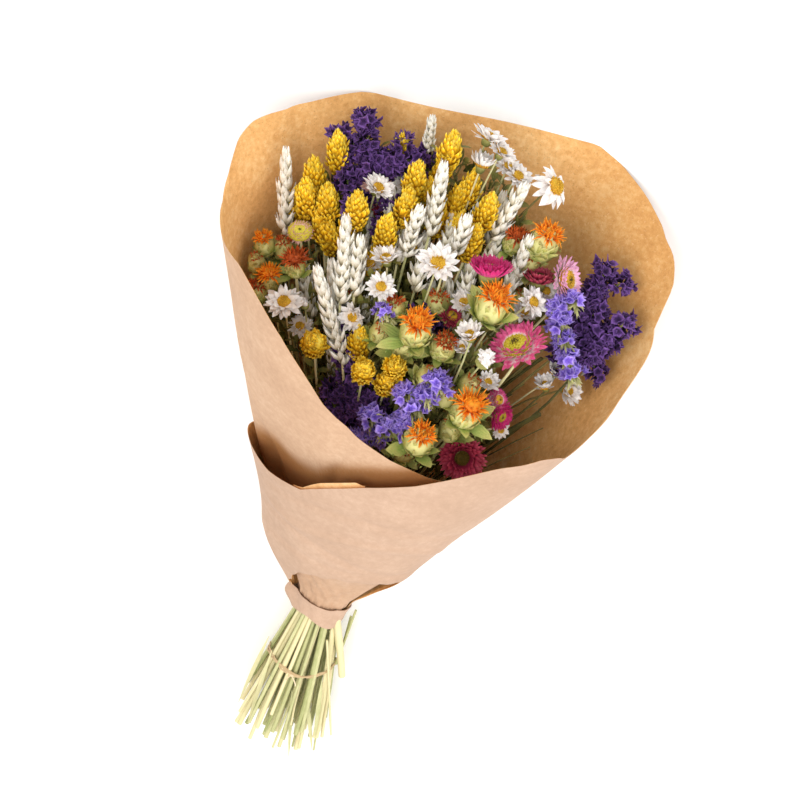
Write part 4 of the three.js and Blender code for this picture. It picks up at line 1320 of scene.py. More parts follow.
def wheat_ear(foot, tip, draw, scale=1.0):
    """An ear with its grains in two rows, four pointed husks to a step. Its broad side faces the viewer."""
    axis = unit(tip - foot)
    length = np.linalg.norm(tip - foot)
    steps = max(4, round(length / (STEP * scale)))
    flat = unit(np.cross(VIEWER, axis))
    turn = draw.uniform(-0.5, 0.5)
    flat = flat * math.cos(turn) + np.cross(axis, flat) * math.sin(turn)
    depth = np.cross(axis, flat)
    level = np.repeat(np.arange(steps), len(HUSK_FAN))
    t = (level + 0.2) / steps
    side = np.where(level % 2, 1, -1)
    fan = np.tile(HUSK_FAN, steps) + draw.normal(0, 0.08, len(level))
    out = flat * (np.cos(fan) * side)[:, None] + depth * np.sin(fan)[:, None]
    lift = math.pi / 2 - (0.8 - 0.4 * t) + draw.normal(0, 0.09, len(level))
    grow, inner = lifted(out, axis, lift)
    size = scale * np.clip(0.7 + 0.6 * np.sin(math.pi * (0.15 + 0.75 * t)), 0.5, 1.1)
    size = size * draw.uniform(0.92, 1.08, len(level))
    root = foot + axis * (length * t * 0.9)[:, None] + out * 1.0 * MM
    tone = np.clip(draw.normal(0.6, 0.15, len(level)), 0, 1)
    sides = 6 if scale == 1 else 4
    husks = blades(root, grow, -inner, HUSK_LENGTH * size, HUSK_WIDTH * size, HUSK_THICK * size, HUSK,
                   HUSK_CURL, 0, draw.normal(0, 0.2, len(level)), tone, sides)
    tips, ways = along_blade(root, grow, -inner, HUSK_LENGTH * size, HUSK_CURL, 0.9)
    hair, hair_thick = draw.uniform(1.4, 3.4, len(level)) * MM * size, 0.6 * MM
    aside = unit(np.cross(ways, out + 0.01))
    beard = blades(tips, ways, aside, hair, hair_thick, hair_thick, THREAD, 0, tone=0.7, sides=3)
    top = around(axis, np.arange(4) * 1.6)
    grow, inner = lifted(top, axis, 1.3)
    top_foot = foot + axis * length * 0.88 + top * 0.4 * MM
    last = blades(top_foot, grow, -inner, 8.6 * MM * scale, 3.4 * MM * scale, 2.6 * MM * scale, HUSK, -0.3,
                  tone=0.7, sides=sides)
    core_foot = foot - axis * 1 * MM
    core = blades(core_foot, axis, depth, length * 0.93, 3 * MM, 2.4 * MM, EGG, tone=0.2, sides=6)
    return joined([husks, last, core] + ([beard] if scale == 1 else []))


draw = np.random.default_rng(22)
for number, ears in enumerate(WHEAT_EARS, 1):
    shapes = []
    for tip_at, foot_at, (tip_up, foot_up, *scale) in ears:
        tip, foot = seen(*tip_at, tip_up), seen(*foot_at, foot_up)
        shapes.append(wheat_ear(foot, tip, draw, *scale))
        on_stalk(foot + unit(tip - foot) * 1.5 * MM, unit(tip - foot), 1.8)
    piece(f"wheat_ear_{number}", joined(shapes), [WHEAT], "wheat", f"wheat_{number}")
print("triangles so far", sum(pieces.values()))

# %% [markdown]
# ## Daisies
#
# The white ones are everlasting daisies: papery pointed petals in three whorls round a yellow disc.
# Some are open, some half closed and some withered shut. A model for each state would be three
# models, but one value that lifts all petals from flat to upright gives them all. A bloom says
# where it is, how far it reaches, how it leans, and whether its stalk is dark.

# %% Where the daisies are
DAISIES = [
    [dict(at=(284, 302), up=92, reach=13)],
    [dict(at=(381, 287), up=104, reach=10.5)],
    [dict(at=(438, 263), up=100, reach=14)],
    [dict(at=(556, 186), up=52, reach=15, lean=(0.6, 0), lift=-0.45, dark=True)],
    [dict(at=(518, 176), up=50, reach=11, lean=(0.2, 0.2))],
    [dict(at=(386, 258), up=90, reach=11.5, lean=(-0.5, 0.6), lift=0.5)],
    [dict(at=(489, 137), up=46, reach=13, lean=(0.3, 1.5), lift=0.3),
     dict(at=(482, 164), up=54, reach=11.5, lean=(0, 1.1), lift=0.8)],
    [dict(at=(470, 335), up=116, reach=11.5, lean=(-0.4, 0.3), lift=0.7)],
    [dict(at=(484, 361), up=110, reach=18, lift=1.8, eye=0.06)],
    [dict(at=(533, 302), up=86, reach=11, lean=(0.4, 0.2))],
    [dict(at=(545, 385), up=72, reach=10, lean=(-0.6, 0.2), lift=0.8, dark=True),
     dict(at=(568, 391), up=66, reach=11.5, lean=(0.5, -0.3), lift=0.6, dark=True)],
    [dict(at=(378, 188), up=66, reach=12, lean=(0.3, 0.4), lift=0.4)],
]
print("daisies", sum(len(blooms) for blooms in DAISIES))

# %% [markdown]
# ## The eye and the green base of a bloom
#
# The yellow eye is hundreds of tiny florets on a low dome. Bump in the material would vanish at the
# dome's edge, where it is seen from the side. So each floret is a small knob, in the order of a
# seed head. Below the petals sits a green cup, which also hides where they meet.

# %% Eye and cup
UNDER_DOME = [(0, 0.9), (0.2, 1), (0.55, 0.86), (0.85, 0.5), (1, 0.1)]
CUP = [(0, 0.3), (0.25, 0.6), (0.6, 0.86), (0.9, 1), (1, 0.9)]


def dome(place, axis, radius, height, count, size, draw, skin):
    """The eye of a bloom: a low dome covered in small knobs, in the order of a seed head."""
    i = np.arange(count)
    r = np.sqrt((i + 0.5) / count)
    out = around(axis, i * GOLDEN)
    spot = place + out * (radius * r)[:, None] + axis * (height * (1 - r * r))[:, None]
    grow = unit(axis + out * (r * 0.8)[:, None] + draw.normal(0, 0.08, (count, 3)))
    side = unit(np.cross(grow, out + 0.01))
    tone = np.clip(0.5 + draw.normal(0, 0.2, count) + (r - 0.5) * 0.3, 0, 1)
    root = spot - grow * size * 0.5
    knobs = blades(root, grow, side, size * 1.5, size, size, KNOB, tone=tone, skin=skin)
    seat, tall, wide = place - axis * 0.6 * MM, height + 0.8 * MM, radius * 2
    body = blades(seat, axis, sidestep(axis)[0], tall, wide, wide, UNDER_DOME, tone=0.2, sides=12, skin=skin)
    return [knobs, body]


def green_base(foot, axis, length, width, skin):
    """The green foot that holds the petals."""
    return blades(foot, axis, sidestep(axis)[0], length, width, width, CUP, sides=10, skin=skin)


print("rings in a dome", len(UNDER_DOME), "in a cup", len(CUP))

# %% A daisy
WHORLS = [(14, 1.0, 0.0), (13, 0.93, 0.16), (9, 0.74, 0.36)]
DAISY_SINK, DAISY_KNOBS = 6, 64


def whorl_turns(count, number, shift, draw):
    """Angles round a bloom. Each whorl is turned by half a step from the one before it."""
    return (np.arange(count) + number * 0.5) / count * 2 * math.pi + draw.normal(0, shift, count)


def daisy_bloom(middle, axis, reach, draw, lift=0.25, eye=0.36):
    """Papery pointed petals in whorls round a domed disc. A high lift closes the bloom."""
    foot = middle - axis * DAISY_SINK * MM
    seat = foot + axis * 4.6 * MM
    shapes = []
    for number, (count, share, up) in enumerate(WHORLS):
        out = around(axis, whorl_turns(count, number, 0.07, draw))
        grow, face = lifted(out, axis, lift * 0.6 + up + draw.normal(0, 0.08, count))
        length = reach * share * draw.uniform(0.84, 1.03, count) - reach * 0.1
        root = seat + out * reach * 0.1 + axis * number * 0.25 * MM
        width = reach * draw.uniform(0.24, 0.36, count)
        curl = lift * 1.1 + draw.uniform(-0.45, 0.25, count)
        cup = 0.35 + draw.normal(0, 0.2, count)
        twist, tone = draw.normal(0, 0.4, count), draw.uniform(0.3, 0.8, count)
        shapes.append(blades(root, grow, face, length, width, 0.34 * MM, PETAL, curl, cup, twist, tone))
    seat = seat + axis * 0.8 * MM
    shapes += dome(seat, axis, reach * eye, reach * 0.22, DAISY_KNOBS, reach * 0.085, draw, 1)
    shapes.append(green_base(foot, axis, 5 * MM, reach * 0.55, 2))
    return joined(shapes)


def bloom_at(at, up, reach, maker, draw, sink, lean=(0, 0), thick=2.0, dark=False, **form):
    """Makes a bloom at a place in the picture and asks for its stalk."""
    middle = seen(*at, up)
    axis = direction_at(middle, lean, 0.45)
    on_stalk(middle - axis * (sink - 1) * MM, axis, thick, dark)
    return maker(middle, axis, reach * MM, draw, **form)


draw = np.random.default_rng(23)
for number, blooms in enumerate(DAISIES, 1):
    shapes = []
    for bloom in blooms:
        shapes.append(bloom_at(maker=daisy_bloom, draw=draw, sink=DAISY_SINK, thick=1.4, **bloom))
    piece(f"daisy_bloom_{number}", joined(shapes), [DAISY, DISC, GREEN_CUP], "daisy", f"daisy_{number}")
print("triangles so far", sum(pieces.values()))

# %% [markdown]
# ## Strawflowers
#
# A strawflower's petals are stiff shining bracts in five tiers round a broad disc, the outer ones
# long and flat, the inner ones short and standing. Sculpting a rosette would make it soft. Here the
# tiers are written down as rows: how many bracts, how far they reach, how high they sit and how
# much they stand up. The disc is a dome of knobs with a small darker one on top.

# %% Where the strawflowers are
STRAWFLOWERS = [
    ("pink", PINK, OLIVE_DISC, dict(at=(517, 346), up=106, reach=18, lean=(-0.8, 0.3), eye=0.54)),
    ("magenta", MAGENTA, OLIVE_DISC, dict(at=(490, 272), up=96, reach=16, lean=(-0.5, 1.7), lift=0.45)),
    ("red", DEEP_RED, DARK_DISC, dict(at=(539, 279), up=70, reach=12, lean=(-0.4, 1.3), lift=0.4)),
    ("pale", PALE_PINK, DISC, dict(at=(566, 280), up=70, reach=14.5, lean=(0.9, 0), eye=0.56)),
    ("red", DEEP_RED, DARK_DISC, dict(at=(462, 458), up=96, reach=15, lean=(0, -0.5), eye=0.26)),
    ("magenta", MAGENTA, OLIVE_DISC, dict(at=(500, 416), up=98, reach=10, lean=(0.8, -0.5), lift=0.3)),
    ("pale", ROSY, OLIVE_DISC, dict(at=(300, 231), up=74, reach=8, eye=0.92)),
]
print("strawflowers", len(STRAWFLOWERS))

# %% A strawflower
STRAWFLOWER_SINK = 9
STIFF = [(0, 0.45), (0.35, 0.9), (0.7, 1), (0.9, 0.55), (1, 0.08)]
TIERS = [
    (27, 1.04, 0.0, 0.0), (27, 0.98, 0.7, 0.14), (25, 0.89, 1.3, 0.3), (22, 0.79, 1.8, 0.5),
    (20, 0.69, 2.2, 0.78),
]


def strawflower_bloom(middle, axis, reach, draw, eye=0.46, lift=0.0):
    """Stiff shining bracts in tiers, the inner ones standing, round a broad seeded disc."""
    foot = middle - axis * STRAWFLOWER_SINK * MM
    shapes = []
    for number, (count, share, above, up) in enumerate(TIERS):
        out = around(axis, whorl_turns(count, number, 0.04, draw))
        grow, face = lifted(out, axis, up + lift + draw.normal(0, 0.07, count))
        start = reach * 0.3
        root = foot + axis * (6.9 + above) * MM + out * start
        length = (reach * share - start) * draw.uniform(0.9, 1.08, count)
        curl, twist = 0.5 + draw.normal(0, 0.16, count), draw.normal(0, 0.2, count)
        tone = draw.uniform(0.35, 0.75, count)
        width = reach * 0.17
        shapes.append(blades(root, grow, face, length, width, 0.45 * MM, STIFF, curl, 0.3, twist, tone))
    seat = foot + axis * 9.2 * MM
    shapes += dome(seat, axis, reach * eye, reach * 0.2, 110, reach * 0.07, draw, 1)
    shapes += dome(seat + axis * reach * 0.15, axis, reach * 0.16, reach * 0.07, 18, reach * 0.06, draw, 2)
    shapes.append(green_base(foot, axis, 7.6 * MM, reach * 0.8, 3))
    return joined(shapes)


draw = np.random.default_rng(24)
for number, (kind, finish, disc, bloom) in enumerate(STRAWFLOWERS, 1):
    shape = bloom_at(maker=strawflower_bloom, draw=draw, sink=STRAWFLOWER_SINK, **bloom)
    finishes = [finish, disc, DARK_DISC, GREEN_CUP]
    piece(f"strawflower_bloom_{number}", shape, finishes, f"strawflower_{kind}", f"strawflower_{number}")
print("triangles so far", sum(pieces.values()))

# %% [markdown]
# ## Safflowers
#
# A safflower is an urn of layered green bracts that ends in a burst of orange threads, with a ruff
# of spiny leaves below. The threads could be hair, but they stand in small clumps that spread
# outward, and the exported model needs them as mesh. So five threads share a place, a seeded draw
# bends each, and a rounded heart fills the middle.

# %% Where the safflowers are
SAFFLOWERS = [
    dict(at=(494, 302), up=104, width=23, tuft=10),
    dict(at=(546, 240), up=66, width=22, tuft=9),
    dict(at=(515, 240), up=62, width=14, tuft=7, rusty=True),
    dict(at=(417, 327), up=114, width=22, tuft=10),
    dict(at=(469, 409), up=118, width=22, tuft=11),
    dict(at=(420, 438), up=124, width=22, tuft=7),
    dict(at=(270, 277), up=78, width=14, tuft=8),
    dict(at=(295, 262), up=78, width=14, tuft=9, rusty=True),
    dict(at=(264, 243), up=64, width=15, tuft=5),
    dict(at=(444, 346), up=98, width=18, tuft=5, rusty=True),
]
print("safflowers", len(SAFFLOWERS))

# %% [markdown]
# ## Spiny leaves
#
# The leaves below a safflower are broad, dry and toothed, with a spine on each tooth. A leaf could
# be cut from a picture with a see-through background, but the exported mesh has to have the shape
# itself. So a leaf is a blade, and its spines are small blades that stand on its edges.

# %% Leaves with teeth
TEETH = [(0.3, 0.8), (0.5, 0.95), (0.72, 0.76)]
SPINE = [(0, 1), (0.5, 0.5), (1, 0.05)]


def spiny_leaves(place, axis, count, reach, draw, skin):
    """Broad dry leaves with a spine at each tooth of their edges."""
    turn = (np.arange(count) + draw.uniform(0, 1)) / count * 2 * math.pi + draw.normal(0, 0.2, count)
    out = around(axis, turn)
    grow, face = lifted(out, axis, draw.normal(0.45, 0.25, count))
    length = reach * draw.uniform(0.75, 1.1, count)
    curl = draw.normal(0.3, 0.5, count)
    foot = place + out * reach * 0.15
    twist, tone = draw.normal(0, 0.3, count), draw.uniform(0.3, 0.8, count)
    leaf = blades(foot, grow, face, length, length * 0.46, 0.45 * MM, LEAF, curl, 0.25, twist, tone, 4, skin)
    side = np.cross(grow, face)
    teeth = []
    for at, wide in TEETH:
        there, _ = along_blade(foot, grow, face, length, curl, at)
        for way in (-1, 1):
            root = there + side * (way * length * 0.2 * wide)[:, None]
            ahead = unit(side * way + grow * 0.7)
            teeth.append(blades(root, ahead, face, length * 0.14, length * 0.07, 0.3 * MM, SPINE, sides=3,
                                tone=0.6, skin=skin))
    return [leaf, *teeth]


print("spines on a leaf", 2 * len(TEETH))

# %% A safflower
POINTED = [(0, 0.5), (0.2, 0.9), (0.45, 1), (0.7, 0.66), (0.88, 0.24), (1, 0.03)]
CLUMP, SLIMMER = 5, 0.84


def safflower_bloom(middle, axis, width, tuft, draw, count=44, threads=130):
    """A head of layered green bracts that ends in a burst of fine threads, with spiny leaves below it."""
    length = width * 1.05
    foot = middle - axis * (length + tuft) / 2
    i = np.arange(count)
    t = (i + 0.5) / count
    out = around(axis, i * GOLDEN + draw.uniform(0, 6))
    full = width / 2 * np.sin(math.pi * t ** 0.72) ** 0.6
    grow, inner = lifted(out, axis, np.radians(44 + 34 * t) + draw.normal(0, 0.1, count))
    root = foot + axis * (length * 0.8 * t)[:, None] + out * (full * 0.62)[:, None]
    size = width * (draw.uniform(0.52, 0.68, count) - 0.24 * t)
    curl, twist = -0.75 + draw.normal(0, 0.25, count), draw.normal(0, 0.2, count)
    tone = draw.uniform(0.2, 0.9, count)
    bracts = blades(root, grow, -inner, size, size * 0.56, 0.9 * MM, POINTED, curl, -0.3, twist, tone)
    side, wide = sidestep(axis)[0], width * SLIMMER
    body = blades(foot, axis, side, length * 0.98, wide, wide, EGG, tone=0.3, sides=12)
    clump = np.arange(threads) // CLUMP
    open_share = np.sqrt((clump + 0.5) / (clump[-1] + 1))
    out = around(axis, clump * GOLDEN + draw.normal(0, 0.2, threads))
    lift = math.pi / 2 - open_share * 0.95 + draw.normal(0, 0.22, threads)
    grow, face = lifted(out, axis, lift)
    root = foot + axis * length * 0.88 + out * (width * 0.2 * open_share)[:, None]
    long = (tuft + 1 * MM) * draw.uniform(0.5, 0.9, threads)
    curl, twist = draw.normal(-0.3, 1.0, threads), draw.normal(0, 0.5, threads)
    tone = draw.uniform(0.2, 1.0, threads)
    burst = blades(root, grow, face, long, 1.3 * MM, 0.8 * MM, THREAD, curl, 0, twist, tone, 3, 1)
    middle = foot + axis * length * 0.8
    heart = blades(middle, axis, side, tuft * 0.7, tuft, tuft, ROUND, tone=0.1, sides=10, skin=1)
    leaves = spiny_leaves(foot + axis * length * 0.1, axis, 7, width * 0.85, draw, 2)
    return joined([bracts, body, burst, heart, *leaves])


draw = np.random.default_rng(25)
for number, head in enumerate(SAFFLOWERS, 1):
    middle = seen(*head["at"], head["up"])
    axis = direction_at(middle, (0, 0), 0.15)
    width, tuft = head["width"] * MM, head["tuft"] * MM
    shape = safflower_bloom(middle, axis, width, tuft, draw)
    on_stalk(middle - axis * ((width * 1.05 + tuft) / 2 - 1.5 * MM), axis, 2.4)
    finishes = [BRACT, RED_ORANGE if head.get("rusty") else ORANGE, LEAF_GREEN]
    piece(f"safflower_bloom_{number}", shape, finishes, "safflower", f"safflower_{number}")
print("triangles so far", sum(pieces.values()))

# %% [markdown]
# ## Statice
#
# Statice carries small papery cups in lumps along its branches, with straw-coloured husks behind
# the violet ones. A cup that is only the side of a cone has no thickness, and the exported mesh has
# to be closed. So a cup is a loft whose rings go out along its outer wall and back down the inner
# one, with a crinkled rim.

# %% Where the statice is
STATICE = [
    ("statice_purple", 8, [((378, 196, 50), (365, 120, 34)), ((372, 160, 44), (342, 136, 36)),
                           ((378, 176, 48), (402, 146, 38)), ((374, 190, 50), (350, 180, 52)),
                           ((396, 164, 44), (420, 158, 40))]),
    ("statice_purple", 8, [((560, 352, 66), (604, 274, 46)), ((590, 295, 52), (622, 284, 42)),
                           ((574, 318, 58), (596, 314, 54)), ((566, 366, 68), (624, 324, 58)),
                           ((584, 356, 66), (598, 372, 62)), ((598, 344, 62), (594, 330, 58))]),
    ("statice_purple", 8, [((366, 425, 96), (342, 396, 88)), ((360, 404, 92), (350, 358, 78))]),
    ("statice_violet", 8, [((404, 424, 112), (358, 440, 106)), ((386, 430, 114), (372, 418, 110)),
                           ((404, 424, 114), (437, 382, 114)), ((412, 412, 116), (404, 394, 112))]),
    ("statice_violet", 8, [((573, 376, 84), (556, 308, 82)), ((558, 318, 82), (572, 302, 78))]),
    ("statice_violet", 6, [((388, 318, 104), (382, 311, 110))]),
]
print("statice", len(STATICE), "sprays")

# %% Papery cups
FUNNEL = [(0.12, 0.0), (0.42, 0.7), (1.0, 1.0), (0.88, 1.02), (0.25, 0.7)]


def funnels(foot, axis, size, tone, draw, skin=0):
    """Papery ruffled cups: out along their outer wall and back down the inner one."""
    count, sides = len(foot), 10
    radius, height = (np.array(v)[None, :, None, None] for v in zip(*FUNNEL))
    first = unit(np.cross(axis, VIEWER + (0.3, 0.1, 0)))
    second = np.cross(axis, first)
    angle = (np.arange(sides) / sides * 2 * math.pi)[None, None, :, None]
    phase = draw.uniform(0, 6, (2, count))[:, :, None, None, None]
    crinkle = draw.normal(0, 0.13, (2, count, 1, sides, 1)) + 0.16 * np.cos(sides / 2 * angle)
    flare = radius * 0.62 * (1 + (crinkle[0] + 0.16 * np.cos(2 * angle + phase[0])) * radius)
    rise = height + (crinkle[1] + 0.13 * np.cos(3 * angle + phase[1])) * radius ** 2
    size = np.asarray(size)[:, None, None, None]
    first, second, axis, foot = (v[:, None, None, :] for v in (first, second, axis, foot))
    rings = foot + (first * np.cos(angle) + second * np.sin(angle)) * flare * size + axis * rise * size
    zeros = np.zeros(rings.shape[:3] + (1,))
    tone = np.asarray(tone)[:, None, None, None]
    spots = np.concatenate([np.cos(angle * 3) + zeros, height + zeros, tone + zeros], 3)
    return lofts(rings, spots, skin)


print("rings in a cup", len(FUNNEL))

# %% A spray of statice
def statice_spray(branches, radius, draw, crowd, tilt, straws=0):
    """Lumps of cups along each branch, the straw-coloured husks behind them, and the thin branch itself."""
    feet, axes, sizes, twigs, husks = [], [], [], [], []
    for start, end in branches:
        start, end = seen(*start), seen(*end)
        lumps = max(2, math.ceil(np.linalg.norm(end - start) / (radius * MM * 1.3)))
        way = unit(end - start)
        for k in range(lumps):
            heart = start + (end - start) * k / (lumps - 1)
            i = np.arange(crowd)
            rise = 1 - 2 * (i + 0.5) / crowd
            ring = np.sqrt(1 - rise * rise)
            out = around(way, i * GOLDEN + k) * ring[:, None] + way * rise[:, None]
            out = unit(out + tilt + way * 0.2 + draw.normal(0, 0.2, (crowd, 3)))
            away = draw.uniform(0.05, 0.7, crowd) * radius * MM
            feet.append(heart + (out - tilt * 0.5) * away[:, None])
            axes.append(unit(out + draw.normal(0, 0.25, (crowd, 3))))
            sizes.append(radius * MM * draw.uniform(0.4, 0.7, crowd))
            if straws:
                back = unit(-tilt + draw.normal(0, 0.45, (straws, 3)))
                root = heart + draw.normal(0, 1.5 * MM, (straws, 3))
                side = unit(np.cross(back, way))
                curl, tone = draw.normal(0, 0.4, straws), draw.uniform(0.3, 1, straws)
                husks.append(blades(root, back, side, radius * MM, 1.6 * MM, 1.2 * MM, HUSK, curl, tone=tone,
                                    skin=2))
        twigs.append(start + (end - start) * np.linspace(-0.08, 1, 8)[:, None])
    feet, axes, sizes = (np.concatenate(v) for v in (feet, axes, sizes))
    cups = funnels(feet, axes, sizes, draw.uniform(0.0, 1.0, len(feet)), draw)
    return joined([cups, tubes(np.stack(twigs), 1.8 * MM, 0.4, 5, 1), *husks])


FEW_CUPS = 12
draw = np.random.default_rng(26)
for number, (slot, radius, branches) in enumerate(STATICE, 1):
    kind = PURPLE if slot == "statice_purple" else VIOLET
    crowd, tilt = 26, VIEWER * 0.3
    if kind is VIOLET:
        crowd, tilt = 24, VIEWER * 0.4 + picture_up * 0.9 - picture_right * 0.3
    straws = 0 if kind is PURPLE else 14
    crowd = crowd if len(branches) > 1 else FEW_CUPS
    shape = statice_spray(branches, radius, draw, crowd, tilt, straws)
    first, last = (seen(*end) for end in branches[0])
    on_stalk(first, unit(last - first), 1.7, True)
    node = f"{slot}_{number if kind is PURPLE else number - 3}"
    piece(f"statice_spray_{number}", shape, [kind, LEAF_GREEN, STRAW_GREEN], slot, node)
print("triangles so far", sum(pieces.values()))

# %% [markdown]
# ## The second row
#
# A florist packs a bunch until nothing shows between the blooms. Lower blooms fill the gaps between
# the main ones, and under them is a tangle of small leaves and twigs that reads as a dark green
# shade. Their heights aren't guessed one by one: the main blooms make a crown, and a lower bloom
# stands so many millimetres below it, on a stalk of its own.

# %% The crown
def known_heights():
    """Every main bloom's place in the picture, with its height."""
    for heads in CANARY_GRASS:
        yield from ((*head[0], head[1]) for head in heads)
    for ears in WHEAT_EARS:
        for tip_at, foot_at, heights in ears:
            yield from ((*tip_at, heights[0]), (*foot_at, heights[1]))
    daisies = [bloom for blooms in DAISIES for bloom in blooms]
    strawflowers = [row[-1] for row in STRAWFLOWERS]
    for bloom in daisies + strawflowers + SAFFLOWERS:
        yield *bloom["at"], bloom["up"]
    for _, _, branches in STATICE:
        for ends in branches:
            yield from ends


CROWN = np.array(list(known_heights()))
CLEARANCE = 8


def crown(px, py):
    """The height of the crown at a place in the picture: the nearest main blooms count most."""
    apart = (CROWN[:, 0] - px) ** 2 + (CROWN[:, 1] - py) ** 2 + 60
    weight = apart ** -1.5
    return float((CROWN[:, 2] * weight).sum() / weight.sum())


def below_crown(px, py, depth):
    """A place so many millimetres below the crown, and never nearer to the table than its clearance."""
    return seen(px, py, max(crown(px, py) - depth, CLEARANCE))


print("crown", round(crown(430, 280)), "mm in the middle")

# %% [markdown]
# ## The lower grasses
#
# Little of a lower ear or head shows. A flat card with a picture would do from one side only, so
# the makers of the main ones serve again, with fewer scales and without beards. A row says where a
# bloom shows and how deep it lies.

# %% Lower wheat and canary grass
LOWER_WHEAT = [
    ((372, 196), (362, 252), 12), ((397, 180), (388, 222), 8), ((331, 262), (336, 330), 10),
    ((300, 252), (312, 318), 18), ((448, 280), (452, 338), 22), ((430, 284), (438, 342), 24),
    ((463, 274), (463, 324), 26), ((479, 208), (468, 262), 16), ((503, 196), (488, 250), 12),
    ((426, 236), (414, 292), 10), ((404, 222), (397, 264), 12), ((453, 208), (446, 262), 9),
    ((472, 262), (464, 300), 14), ((366, 300), (362, 352), 18), ((517, 262), (505, 302), 10),
    ((330, 340), (338, 392), 20), ((384, 300), (392, 350), 20), ((500, 226), (486, 276), 16),
]
LOWER_CANARY = [
    ((403, 152), 5), ((346, 236), 14), ((428, 196), 12), ((331, 238), 14), ((297, 206), 16),
    ((437, 220), 14), ((470, 190), 12), ((373, 264), 20), ((500, 244), 22), ((404, 352), 16),
    ((322, 226), 10), ((440, 176), 12),
]
LOWER_EAR, LOWER_SCALES = 0.88, 96
LOWER_HEAD_LENGTH, LOWER_HEAD_WIDTH = 29 * MM, 14.5 * MM


def add(name, shapes, finishes, slot):
    """A piece of its own, that stands for no plain solid."""
    piece(name, joined(shapes), finishes, slot)


draw = np.random.default_rng(31)
shapes = []
for tip_at, foot_at, depth in LOWER_WHEAT:
    tip, foot = below_crown(*tip_at, depth), below_crown(*foot_at, depth)
    shapes.append(wheat_ear(foot, tip, draw, LOWER_EAR))
    on_stalk(foot + unit(tip - foot) * 1.5 * MM, unit(tip - foot), 1.6)
add("lower_wheat", shapes, [WHEAT], "wheat")
shapes = []
for at, depth in LOWER_CANARY:
    middle = below_crown(*at, depth)
    axis = direction_at(middle, draw.normal(0, 0.1, 2), 0.12)
    shapes.append(canary_head(middle, axis, LOWER_HEAD_LENGTH, LOWER_HEAD_WIDTH, draw, LOWER_SCALES))
    canary_stalk(middle, axis, LOWER_HEAD_LENGTH)
add("lower_canary_heads", shapes, [CANARY], "canary_grass")
print("lower grasses", len(LOWER_WHEAT) + len(LOWER_CANARY))

# %% [markdown]
# ## The lower daisies and strawflowers
#
# Between the main blooms the real bunch shows parts of small daisies, some of them closed, and of
# small strawflowers in several shades. Scattering them by a draw would put them where nobody sees
# them. So each fills a gap that shows in the picture.

# %% Lower daisies
LOWER_DAISIES = [
    dict(at=(305, 304), depth=0, reach=9, lift=1.5, eye=0.1),
    dict(at=(353, 317), depth=3, reach=11, lean=(-0.2, -0.6), lift=0.5),
    dict(at=(464, 302), depth=10, reach=10, lift=0.5),
    dict(at=(546, 291), depth=6, reach=9),
    dict(at=(412, 247), depth=8, reach=11, lean=(0.3, 0.4), lift=0.4),
    dict(at=(370, 264), depth=12, reach=10, lean=(-0.4, 0.2)),
    dict(at=(501, 430), depth=2, reach=7, lean=(0.5, -0.4)),
    dict(at=(300, 326), depth=12, reach=9),
    dict(at=(488, 382), depth=8, reach=9, lift=0.6),
    dict(at=(362, 186), depth=4, reach=8, lean=(0.5, 0.5), lift=0.8),
    dict(at=(480, 300), depth=18, reach=8),
    dict(at=(524, 312), depth=10, reach=10, lean=(0.1, 0.3), lift=0.4),
    dict(at=(462, 348), depth=8, reach=9, lean=(-0.3, 0), lift=0.8),
    dict(at=(404, 186), depth=8, reach=9, lift=0.6),
    dict(at=(502, 152), depth=0, reach=10, lean=(0.3, 0.6), lift=0.3),
    dict(at=(508, 166), depth=6, reach=9, lift=0.3),
    dict(at=(340, 300), depth=16, reach=9, lift=0.4),
    dict(at=(556, 372), depth=2, reach=9, lean=(0, 0.4), lift=0.7),
]


def lower_bloom(at, depth, maker, draw, **form):
    """A bloom so many millimetres below the crown."""
    return bloom_at(at, crown(*at) - depth, maker=maker, draw=draw, **form)


shapes = []
for bloom in LOWER_DAISIES:
    shapes.append(lower_bloom(maker=daisy_bloom, draw=draw, sink=DAISY_SINK, thick=1.3, **bloom))
add("lower_daisies", shapes, [DAISY, DISC, GREEN_CUP], "daisy")
print("lower daisies", len(shapes))

# %% Lower strawflowers
LOWER_STRAWFLOWERS = [
    (DEEP_RED, "strawflower_red", dict(at=(386, 212), depth=10, reach=9, lean=(0.2, 0.2))),
    (ROSY, "strawflower_pale", dict(at=(376, 184), depth=0, reach=9, lean=(-0.4, 0.5))),
    (PALE_PINK, "strawflower_pale", dict(at=(552, 302), depth=8, reach=10, lean=(-0.2, 0.6))),
    (DEEP_RED, "strawflower_red", dict(at=(452, 316), depth=14, reach=8, lean=(0.2, 0.2))),
    (PINK, "strawflower_pink", dict(at=(498, 400), depth=2, reach=8, lean=(0.6, 0))),
]
for number, (finish, slot, bloom) in enumerate(LOWER_STRAWFLOWERS, 1):
    shape = lower_bloom(maker=strawflower_bloom, draw=draw, sink=STRAWFLOWER_SINK, **bloom)
    add(f"lower_strawflower_{number}", [shape], [finish, DISC, DARK_DISC, GREEN_CUP], slot)
print("lower strawflowers", len(LOWER_STRAWFLOWERS))

# %% [markdown]
# ## The lower safflowers and statice
#
# Green heads whose threads are short and rusty fill most of what is left, and purple sprays darken
# the gaps beside the main ones. From most sides they could be left out, but from above the bunch
# would look hollow. The makers are the same, with fewer bracts, threads and cups.

